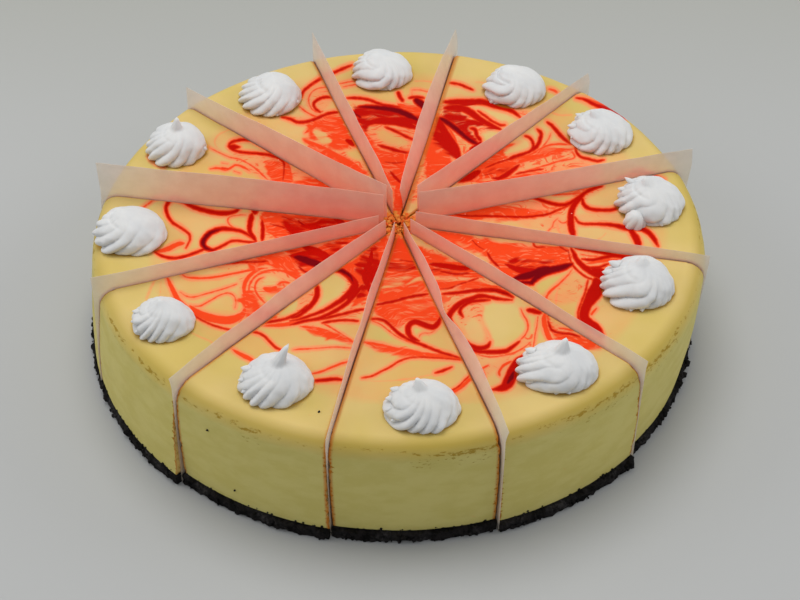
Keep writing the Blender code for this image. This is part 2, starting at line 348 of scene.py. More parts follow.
# Dark crumbs stuck to the filling: angle in degrees, radius, height and size
SPECKS = (
    (235.0, 0.1253, 0.0393, 0.0006), (254.4, 0.1099, 0.0521, 0.0006), (239.8, 0.1253, 0.0118, 0.0005),
)
# Single blocks that stick out: angle in degrees, how far beyond the edge, height and size
BLOCKS = (
    (315.6, 0.0002, 0.0030, 0.0022), (313.8, -0.0002, 0.0026, 0.0016), (338.5, 0.0002, 0.0034, 0.0018),
    (341.5, 0.0002, 0.0030, 0.0017), (344.5, 0.0002, 0.0034, 0.0018), (350.5, 0.0002, 0.0032, 0.0016),
    (330.0, 0.0002, 0.0030, 0.0016), (212.0, 0.0000, 0.0026, 0.0015), (236.0, 0.0000, 0.0022, 0.0014),
    (226.4, -0.0002, 0.0032, 0.0016), (250.0, 0.0000, 0.0022, 0.0014), (200.0, 0.0002, 0.0030, 0.0015),
)

# Angles between faces, in degrees, from which an edge is sharp
SHARP_FILLING = 45
SHARP_CRUST = 60
SHARP_PAPER = 40
SHARP_CREAM = 80

# The floor and the lights: name, place, size, power and colour of each light
FLOOR_SIZE = 8.0
LIGHTS_AIM = (0, 0, 0.03)
LIGHTS = (
    ("above", (-0.10, 0.35, 1.35), 0.9, 9.5, (1.0, 0.985, 0.96)),
    ("left", (-1.1, 0.1, 0.7), 0.8, 3.3, (1.0, 0.99, 0.97)),
    ("right", (1.1, 0.2, 0.7), 0.8, 3.4, (1.0, 0.99, 0.97)),
)
SKY = (0.96, 0.98, 1.0, 1.0)
SKY_STRENGTH = 0.50
RANDOM_SEED = 12

# How the strokes of the swirl are drawn, in pixels: reach of their fields, softness of the
# washes and of bare filling, and what is taken off each width for its soft edge
FIELD_LIMIT = 4.0
WASH_SOFT = 4.0
BARE_SOFT = 2.0
THINNER = 0.7
LEAST_WIDTH = 0.7
TONE_ORDER = ("S", "R", "D", "M")
PATCH_KINDS = ("S", "R", "D")
FIELD_NAMES = ("wash", "red", "deep", "dark", "wash_patch", "red_patch", "deep_patch")
# How much wider each lighter tone is than the stroke's own, in pixels
TONE_HALO = {"S": (0.0,), "R": (4.8, 0.0), "D": (6.6, 1.9, 0.0), "M": (7.0, 3.6, 1.8, 0.0)}
# Share of a stroke's length over which each end narrows, to which share, and how roundly
TAPER = 0.14
TAPER_END = 0.35
TAPER_POWER = 0.6
FAR_OFF = 1e3
TINY = 1e-9

# The swirl, drawn in pixels of the photograph. Each stroke has a tone, its width (or widths
# from start to end) and its points. S is a thin wash, R red, D deep red, M dark red.
STROKES = (
    # left slices, from the back to the front
    ("D", 4, (150, 157), (157, 161), (164, 166)),
    ("S", 2, (231, 129), (220, 134), (215, 140), (216, 146), (222, 151), (228, 156)),
    ("R", (1.5, 2, 3), (208, 147), (216, 151), (229, 157), (239, 159), (247, 163), (256, 169), (268, 180)),
    ("S", (2, 8, 9), (240, 160), (255, 169), (268, 181), (276, 188)),
    ("D", 3, (283, 180), (284, 170), (283, 161), (273, 156), (262, 154), (250, 153), (240, 152),
     (232, 149), (229, 146), (232, 142), (240, 140), (250, 140), (258, 143), (268, 150), (276, 155),
     (283, 161)),
    ("D", (3, 6, 2), (228, 146), (233, 147), (240, 147)),
    ("R", 3, (210, 169), (218, 168), (226, 170), (232, 167), (236, 165), (243, 167), (250, 171)),
    ("D", 2.5, (222, 168), (228, 169)),
    ("R", 2, (222, 163), (228, 164)),
    ("R", 3, (234, 171), (240, 173)),
    ("R", (6, 10, 8), (283, 156), (286, 168), (290, 180)),
    ("R", 2.5, (141, 209), (148, 204), (155, 199), (163, 196)),
    ("D", (5, 5, 4, 3, 2), (240, 206), (236, 211), (228, 213), (218, 213), (207, 211), (196, 208),
     (188, 204),
     (180, 200), (173, 199), (168, 203), (166, 209), (168, 216), (172, 222), (178, 226), (184, 230),
     (189, 234),
     (190, 239), (188, 244), (186, 248)),
    ("R", 1.5, (183, 198), (192, 205), (203, 209)),
    ("R", (3, 6, 5), (154, 252), (165, 250), (178, 244), (184, 243)),
    ("D", 3, (155, 252), (162, 256), (172, 258), (182, 257), (192, 254), (202, 250), (206, 247)),
    ("S", 2, (163, 261), (168, 262)),
    ("D", (3, 3.5, 5, 5.5, 3, 2.5, 2.5), (256, 241), (250, 236), (243, 232), (236, 230), (228, 229),
     (220, 229),
     (212, 232), (206, 237), (203, 243), (206, 248), (212, 250), (218, 248), (224, 245), (232, 241),
     (240, 241), (248, 242), (256, 242)),
    ("M", (2, 4.5, 5, 2), (222, 229), (212, 232), (206, 237), (203, 243), (206, 248), (213, 250)),
    ("R", 2, (246, 215), (240, 215), (232, 216), (228, 219), (229, 224), (234, 228), (240, 232),
     (248, 237), (254, 241)),
    ("D", (6, 8, 6), (254, 203), (255, 208), (255, 213)),
    ("D", (6, 5, 4), (252, 214), (250, 224), (250, 232), (256, 241)),
    ("D", 4, (262, 220), (263, 230), (262, 241)),
    ("D", 2.5, (205, 265), (215, 264), (228, 263), (242, 262), (258, 262), (268, 261)),
    ("R", 2, (232, 258), (245, 259), (262, 261)),
    ("S", 2, (215, 268), (232, 268)),
    ("R", 3, (181, 273), (186, 277), (195, 278), (206, 278), (216, 277), (226, 275), (236, 273), (246, 271),
     (258, 269), (268, 268)),
    ("R", (4, 6, 6), (167, 277), (170, 284), (174, 292), (178, 300), (184, 306), (190, 312)),
    ("S", 2.5, (155, 280), (150, 290), (146, 300)),
    ("S", 2.5, (161, 282), (160, 298)),
    ("R", 2, (180, 292), (186, 296), (194, 297), (205, 294), (216, 291), (226, 288), (237, 284)),
    # lower left
    ("R", 2.2, (193, 306), (200, 306), (206, 303), (213, 299), (220, 295), (228, 293), (234, 296),
     (236, 302), (235, 308)),
    ("R", (6, 9, 9, 5), (190, 306), (200, 314), (215, 319), (230, 320), (242, 315), (246, 306)),
    ("D", 2, (194, 315), (200, 319), (210, 324), (222, 328), (231, 330)),
    ("R", (4, 5, 4), (246, 306), (246, 298), (244, 288), (247, 279), (254, 272), (262, 268)),
    ("R", 3, (252, 306), (249, 294), (250, 284), (256, 276), (264, 272), (275, 270), (285, 272), (294, 277),
     (300, 282), (306, 283)),
    ("R", 3, (266, 304), (260, 298), (256, 292), (255, 286), (258, 280), (264, 277)),
    ("R", (4, 7, 4), (263, 288), (270, 290), (277, 287)),
    ("R", 3, (277, 285), (283, 282), (290, 283)),
    ("R", 2, (285, 285), (284, 291), (286, 295)),
    ("R", (4, 6, 4), (283, 270), (292, 273), (298, 278), (302, 283)),
    ("D", 3, (262, 323), (275, 321), (288, 318), (300, 312), (308, 305)),
    ("R", (3, 5, 4), (263, 326), (280, 325), (295, 323), (310, 320)),
    ("S", 2.5, (298, 298), (299, 304), (296, 310), (290, 313)),
    ("D", 2.5, (253, 332), (258, 333), (264, 336), (270, 342), (275, 347), (281, 350)),
    ("S", 2.5, (190, 332), (200, 337), (210, 341), (215, 346)),
    ("R", (3, 5, 5), (232, 349), (240, 354), (248, 358), (254, 361)),
    ("R", 2, (293, 350), (300, 349), (310, 349)),
    ("S", (5, 5), (295, 353), (310, 352)),
    # back, left of the centre
    ("D", 3, (302, 97), (303, 92), (308, 87), (315, 82), (322, 78), (333, 73), (340, 70), (347, 67),
     (352, 65)),
    ("R", 2.5, (299, 106), (305, 111), (312, 115), (320, 117), (330, 117)),
    ("R", 2, (328, 87), (320, 88), (313, 91), (309, 97), (309, 103), (312, 109), (318, 113)),
    ("R", 1.5, (329, 91), (320, 92)),
    ("D", 3, (333, 98), (326, 97), (319, 99), (314, 103), (315, 108), (320, 112)),
    ("D", (3, 3.5, 3), (282, 117), (290, 119), (297, 122), (305, 122), (313, 120), (322, 116), (331, 113),
     (341, 112)),
    ("R", (5, 8, 8, 8), (304, 140), (320, 148), (335, 156), (350, 164), (362, 172)),
    ("R", (4, 6, 6), (305, 133), (318, 124), (332, 122), (345, 128)),
    ("D", (4, 6, 4), (346, 140), (350, 142), (354, 145)),
    ("R", 2, (339, 84), (348, 82), (356, 81)),
    ("R", 2, (343, 87), (352, 85), (362, 84), (370, 86)),
    ("D", 3, (347, 98), (355, 98), (365, 99), (372, 101), (380, 104), (390, 106), (400, 107)),
    ("M", (3, 5, 6, 6), (359, 107), (368, 107), (378, 108), (388, 109), (398, 111), (408, 115), (418, 120)),
    ("M", (4, 6), (353, 112), (360, 117)),
    ("S", (3, 5, 3), (367, 116), (380, 114), (392, 116), (405, 120)),
    ("D", (4, 8, 8, 6), (366, 127), (370, 123), (378, 121), (388, 121), (398, 122), (408, 125), (417, 128)),
    ("D", 3, (385, 127), (395, 131), (405, 136), (414, 140)),
    ("D", (3, 4, 3), (378, 145), (388, 148), (398, 151), (408, 153)),
    ("D", 4, (398, 92), (400, 97), (403, 101)),
    ("D", 3, (409, 98), (416, 97), (424, 98)),
    ("M", (5, 7, 6), (415, 100), (420, 103), (424, 107)),
    ("S", 2, (414, 81), (424, 81), (433, 82)),
    ("R", 1.5, (412, 90), (420, 90), (429, 92)),
    ("R", 1.5, (412, 90), (412, 97)),
    ("R", (6, 12, 10), (398, 104), (410, 113), (424, 124)),
    ("D", 3, (400, 116), (412, 122), (424, 128)),
    # left of the centre
    ("M", 3, (298, 221), (304, 225)),
    ("D", (5, 8, 6), (333, 216), (340, 222), (346, 227)),
    ("D", (5, 8, 6), (300, 226), (315, 227), (330, 232)),
    ("D", (5, 9, 7), (302, 246), (315, 251), (330, 257)),
    ("R", (6, 9, 7), (330, 240), (342, 246), (352, 254)),
    ("M", (5, 8, 8, 5), (294, 257), (300, 258), (308, 261), (318, 264), (326, 267)),
    ("D", 3, (298, 266), (306, 272), (318, 272)),
    ("D", (4, 7, 9, 6), (338, 271), (346, 274), (352, 279), (355, 285), (352, 292), (348, 300)),
    ("M", (3, 5, 4, 1), (334, 270), (342, 271), (350, 276), (354, 284)),
    ("D", (5, 8, 7), (372, 250), (370, 262), (365, 275), (368, 285), (370, 292)),
    ("R", (3, 5, 3), (315, 284), (317, 292)),
    ("R", (4, 10, 10, 5), (270, 212), (292, 220), (315, 234), (334, 238)),
    ("R", (8, 10, 8), (275, 234), (296, 238), (318, 240)),
    ("R", (4, 6, 4), (280, 208), (305, 210), (330, 214)),
    ("D", 2.5, (270, 224), (285, 228), (300, 236)),
    ("D", 2.5, (282, 216), (296, 222), (312, 226)),
    # front left
    ("D", (6, 5, 3), (317, 285), (317, 295), (313, 303), (306, 310), (298, 316), (290, 318)),
    ("D", (7, 4, 2), (354, 285), (350, 292), (343, 299), (335, 304), (325, 310), (312, 315), (300, 319),
     (290, 321)),
    ("D", (6, 4, 3), (363, 285), (357, 292), (350, 300), (343, 306), (333, 312), (320, 318), (305, 321),
     (290, 325)),
    ("D", 3, (365, 309), (355, 311), (343, 314), (330, 317), (315, 320)),
    ("D", 2.5, (358, 321), (345, 320), (333, 321), (322, 323)),
    ("R", 2.5, (322, 323), (330, 327), (338, 332), (346, 337), (353, 341)),
    ("R", (3, 6, 5), (300, 326), (320, 330), (335, 336), (353, 342)),
    ("R", 2, (294, 350), (305, 349), (320, 348), (335, 347), (352, 348)),
    ("R", 3, (311, 374), (320, 372), (330, 368), (340, 364), (350, 361)),
    ("D", (3, 4, 3), (312, 381), (325, 380), (335, 379), (343, 380)),
    ("S", 2, (312, 385), (340, 384)),
    # front, between the two front sheets
    ("D", 3.5, (376, 305), (385, 303), (395, 301), (405, 298), (415, 296), (428, 294)),
    ("R", 2, (400, 294), (415, 291), (428, 289)),
    ("R", 1.5, (373, 311), (385, 311), (400, 309), (410, 307), (420, 304), (432, 301)),
    ("D", (3.5, 3.5, 2.5), (371, 319), (378, 319), (385, 321), (391, 326), (397, 332), (404, 337),
     (412, 341),
     (420, 344), (430, 348), (440, 352), (450, 355), (463, 359)),
    ("R", 2, (372, 321), (380, 324), (388, 330), (396, 336), (406, 341), (418, 345)),
    ("D", (4, 6, 6, 6, 5), (419, 341), (411, 337), (408, 330), (410, 324), (416, 322), (425, 325),
     (433, 327),
     (438, 323), (441, 316)),
    ("R", 1.5, (419, 338), (420, 335), (424, 333), (430, 333), (436, 330)),
    ("R", 2, (417, 318), (423, 314), (432, 311), (440, 310)),
    ("R", (5, 7, 6, 3), (364, 342), (380, 346), (395, 350), (410, 352), (425, 355), (440, 356), (463, 359)),
    ("R", 2, (375, 349), (400, 351), (420, 354), (440, 356)),
    ("D", 1.6, (362, 378), (372, 376), (382, 371), (390, 367), (398, 362), (408, 358), (420, 357),
     (440, 358), (463, 360)),
    ("S", 1.8, (362, 381), (380, 381), (400, 380), (420, 377), (434, 374)),
    ("D", (2, 3, 1.5), (435, 373), (442, 371), (447, 369), (452, 367)),
    ("S", 2, (383, 360), (390, 356)),
    ("R", (4, 5, 4), (452, 393), (461, 387), (468, 381), (474, 377)),
    ("D", 1.5, (451, 391), (458, 387), (464, 381), (470, 375)),
    # the centre
    ("D", 2, (384, 162), (395, 163), (404, 162)),
    ("R", (5, 6, 5), (386, 167), (403, 169)),
    ("D", (3, 4, 3), (390, 171), (395, 177), (401, 183)),
    ("R", (7, 10, 12), (399, 182), (399, 196), (399, 210)),
    ("D", (10, 12, 8), (436, 134), (445, 142), (455, 152), (459, 158)),
    ("R", 3, (427, 155), (437, 158), (448, 163)),
    ("R", (5, 6, 6), (425, 162), (440, 166)),
    ("D", (5, 6, 4), (455, 130), (465, 135), (478, 144)),
    ("D", (3, 8, 6), (459, 182), (470, 177), (480, 171)),
    ("R", 3, (440, 211), (455, 213), (468, 214), (480, 215)),
    # back right
    ("D", 2.5, (450, 83), (458, 84), (466, 87), (473, 90)),
    ("S", 2, (448, 94), (463, 95)),
    ("S", 2, (475, 82), (486, 83)),
    ("D", (6, 6, 4), (444, 102), (455, 102), (468, 102), (482, 102), (492, 105), (503, 108), (512, 111),
     (520, 117)),
    ("R", (4, 3), (516, 112), (527, 115)),
    ("D", (7, 7, 4), (445, 108), (460, 108), (470, 112), (478, 118), (488, 124), (500, 129)),
    ("R", 4, (446, 112), (460, 118), (475, 122), (490, 126), (500, 129)),
    ("M", (5, 5, 4), (440, 118), (450, 124), (460, 132), (470, 140), (478, 144)),
    ("D", 2.5, (478, 111), (485, 116), (492, 121), (500, 125), (505, 125)),
    ("D", 4, (470, 128), (475, 130), (477, 136), (481, 141)),
    ("R", 2, (477, 131), (483, 128), (495, 129)),
    ("D", 4, (470, 150), (476, 146), (481, 142)),
    ("D", (8, 9, 8), (437, 118), (442, 128), (448, 138), (455, 148), (458, 158)),
    ("R", 3, (441, 122), (450, 130), (458, 145)),
    ("D", (3, 4, 3), (547, 122), (551, 125), (556, 130), (562, 137), (571, 144)),
    ("D", (3, 3, 4), (525, 136), (530, 138), (533, 143), (533, 148), (529, 152), (520, 155), (510, 158)),
    ("D", (3, 4, 4), (537, 129), (541, 133), (540, 140), (537, 146), (532, 151)),
    ("R", 2, (551, 133), (548, 140), (542, 147), (535, 152), (525, 156)),
    ("R", 3, (570, 145), (560, 144), (550, 145), (542, 148), (534, 153), (522, 157)),
    ("R", (3, 6, 8, 8), (575, 149), (558, 151), (545, 155), (530, 158), (505, 163), (487, 171), (478, 180)),
    ("R", 3, (548, 89), (553, 90), (558, 93)),
    ("S", 2.5, (552, 113), (560, 115), (572, 115)),
    ("D", (2, 4, 5, 3), (576, 98), (583, 99), (590, 102), (598, 106), (610, 109), (617, 113), (624, 119)),
    ("R", 3, (584, 98), (598, 103), (612, 108)),
    ("R", 2.5, (570, 149), (573, 153), (574, 158), (560, 161), (550, 164), (540, 167), (530, 170),
     (518, 174)),
    ("D", 2.5, (575, 148), (577, 153), (581, 157), (588, 159), (597, 161), (604, 160)),
    ("S", 3, (577, 152), (580, 158), (582, 164)),
    ("D", 2, (516, 174), (530, 171), (543, 169)),
    # right of the centre, between the two long sheets
    ("D", (3, 6, 4), (492, 178), (500, 178), (510, 172), (519, 165)),
    ("D", 2.5, (485, 168), (500, 162), (520, 156), (535, 149)),
    ("R", (6, 8, 5), (497, 168), (504, 174), (508, 170)),
    ("D", (3, 3, 2.5), (452, 214), (468, 216), (490, 216), (520, 217), (535, 216), (548, 214), (558, 210),
     (570, 205)),
    ("R", 2.5, (475, 212), (485, 214), (495, 214)),
    ("R", (2, 3, 2), (490, 203), (500, 205), (515, 208), (530, 210), (545, 212), (555, 211)),
    ("R", (4, 5, 4), (468, 205), (480, 209), (492, 209)),
    ("D", (3, 4, 4, 4), (524, 196), (532, 197), (540, 200), (550, 203), (560, 205), (568, 204), (575, 200),
     (582, 195), (590, 190), (602, 186)),
    ("R", 2.5, (552, 195), (568, 194), (582, 193)),
    ("R", (4, 5, 5), (575, 190), (588, 186), (602, 183)),
    ("D", (6, 7, 6, 5), (574, 238), (571, 226), (571, 215), (573, 207), (578, 200), (584, 195)),
    ("R", (2, 3, 2), (574, 234), (572, 218), (575, 206)),
    ("D", (4, 3.5, 3.5), (582, 197), (584, 205), (591, 209), (600, 210), (610, 210), (620, 208)),
    ("D", (2.5, 2.5, 4, 6), (575, 217), (578, 222), (585, 224), (600, 224), (612, 225), (622, 227),
     (631, 230)),
    ("D", (4, 5, 5, 4), (626, 225), (635, 228), (642, 229), (649, 233), (654, 239), (658, 246)),
    ("D", (4, 7, 7), (629, 229), (634, 235), (637, 240), (639, 246)),
    ("R", 2, (558, 220), (562, 223), (566, 222), (569, 218)),
    ("R", 2, (548, 231), (552, 227), (554, 222), (558, 218)),
    ("S", (4, 6, 4), (557, 221), (558, 229), (562, 235)),
    ("S", 2, (532, 222), (540, 221), (544, 226), (540, 230)),
    ("S", 1.6, (497, 221), (510, 221), (520, 220)),
    ("R", (3, 4, 4), (614, 180), (626, 176), (640, 174), (650, 177)),
    ("D", 3, (632, 172), (640, 171), (648, 174), (656, 177), (664, 180)),
    ("S", 3, (597, 240), (602, 237), (606, 233)),
    # right, in front of the long sheet
    ("D", (4, 5), (560, 247), (567, 251)),
    ("D", (4, 6, 6), (571, 248), (574, 254), (577, 260), (583, 266), (591, 272), (600, 276), (607, 277)),
    ("D", (3, 4, 4, 3), (575, 248), (590, 250), (605, 253), (620, 256), (640, 257)),
    ("R", 2, (580, 254), (590, 256), (600, 256)),
    ("D", (3, 4, 3), (582, 259), (592, 260), (602, 258), (615, 256), (630, 259)),
    ("R", (3, 4, 3), (585, 264), (595, 262), (610, 260), (625, 261)),
    ("D", 3, (583, 265), (590, 268), (600, 267), (608, 264)),
    ("D", (7, 9, 7), (592, 271), (600, 272), (608, 275)),
    ("D", 2, (568, 250), (571, 262), (577, 270), (586, 277), (592, 279)),
    ("M", (5, 7, 7, 5), (530, 284), (538, 276), (548, 271), (560, 268), (572, 264)),
    ("R", (2, 3, 3), (573, 268), (568, 275), (560, 283), (552, 290), (545, 298)),
    ("R", 2.5, (556, 286), (549, 292), (546, 300)),
    ("S", (3, 5, 5), (562, 282), (557, 292), (556, 304)),
    ("D", (14, 15, 10, 10, 11, 8), (596, 280), (597, 288), (591, 298), (586, 307), (584, 316), (588, 323),
     (596, 329), (603, 337)),
    ("D", 2, (588, 280), (585, 293), (581, 303), (578, 314), (580, 323)),
    ("R", 3, (597, 308), (594, 311), (591, 315)),
    ("D", (3, 4), (651, 257), (652, 263)),
    ("R", (5, 6, 6, 5), (545, 313), (544, 320), (546, 330), (550, 339), (556, 343)),
    ("D", 3, (548, 321), (552, 330), (560, 333), (570, 334), (580, 337)),
    ("R", (5, 7, 8, 6), (552, 332), (562, 336), (574, 339), (588, 343)),
    ("R", (5, 6, 3), (584, 347), (592, 345), (604, 344)),
    ("R", 2.5, (558, 328), (566, 329), (574, 331)),
    # front right, with the round pale patch
    ("D", (4, 5), (400, 260), (415, 262)),
    ("D", 3, (400, 267), (420, 269)),
    ("D", (5, 7, 5), (430, 264), (445, 266), (460, 268), (472, 268)),
    ("D", 3, (440, 271), (455, 274), (470, 273)),
    ("R", 2, (440, 277), (455, 277)),
    ("D", 2, (440, 289), (450, 288), (460, 284), (470, 281), (478, 278)),
    ("D", (3, 4, 5, 5), (442, 294), (455, 293), (470, 291), (482, 290), (495, 290), (505, 293), (513, 297)),
    ("M", (3, 4), (492, 290), (508, 294)),
    ("R", 2, (400, 291), (415, 288), (428, 288)),
    ("D", (5, 6, 6, 4, 3), (463, 341), (457, 331), (451, 324), (449, 317), (452, 311), (457, 306),
     (463, 302),
     (471, 299), (480, 296), (490, 297), (500, 299), (512, 300)),
    ("D", (4, 4, 3), (463, 317), (460, 312), (462, 307), (468, 303), (476, 301), (490, 300)),
    ("D", (4, 5, 4), (464, 340), (470, 345), (477, 348), (483, 348), (488, 346), (490, 342)),
    ("S", 3, (490, 343), (490, 337), (487, 330), (484, 325), (482, 317), (483, 308), (481, 302)),
    ("D", (3, 4, 5, 3), (466, 346), (476, 351), (486, 352), (496, 352), (506, 351), (514, 346), (520, 341)),
    ("R", 2.5, (519, 341), (525, 335), (528, 328), (527, 321), (523, 314), (521, 309)),
    ("R", 2.2, (473, 352), (480, 355), (490, 357), (500, 356), (510, 354), (520, 350), (530, 343)),
    ("S", 2.5, (475, 360), (485, 360), (495, 359)),
    ("R", 2, (532, 350), (534, 343), (535, 335), (537, 325), (538, 316)),
    ("D", (4, 5, 4), (527, 310), (533, 311), (541, 313)),
    ("R", 2.5, (481, 370), (484, 373), (485, 378)),
    ("R", 2.5, (481, 369), (485, 367), (489, 365)),
    ("R", 3.5, (500, 376), (499, 372), (502, 367), (506, 364), (512, 361)),
    ("D", (3, 6, 11, 12, 6, 2), (523, 355), (516, 362), (513, 370), (510, 379), (504, 387), (490, 390)),
    ("M", (3, 6, 3), (514, 371), (511, 378), (507, 384)),
    ("D", 2, (472, 240), (478, 246), (485, 250)),
    ("D", 3, (487, 252), (492, 260), (500, 268)),
    ("M", (4, 8, 8, 7), (513, 279), (521, 277), (530, 275), (540, 271), (550, 268)),
    ("M", (5, 9), (519, 282), (532, 283)),
    ("D", (4, 8, 8), (505, 264), (520, 270), (540, 272)),
    ("D", 2, (533, 243), (536, 247), (545, 247)),
    ("S", 2, (530, 222), (538, 230), (545, 232)),
    ("R", (4, 8, 8), (470, 246), (500, 254), (530, 258), (556, 256)),
    ("R", (3, 5, 6), (484, 238), (492, 243), (505, 247), (530, 250)),
    ("R", (4, 8, 6), (545, 262), (556, 258), (566, 256)),
)

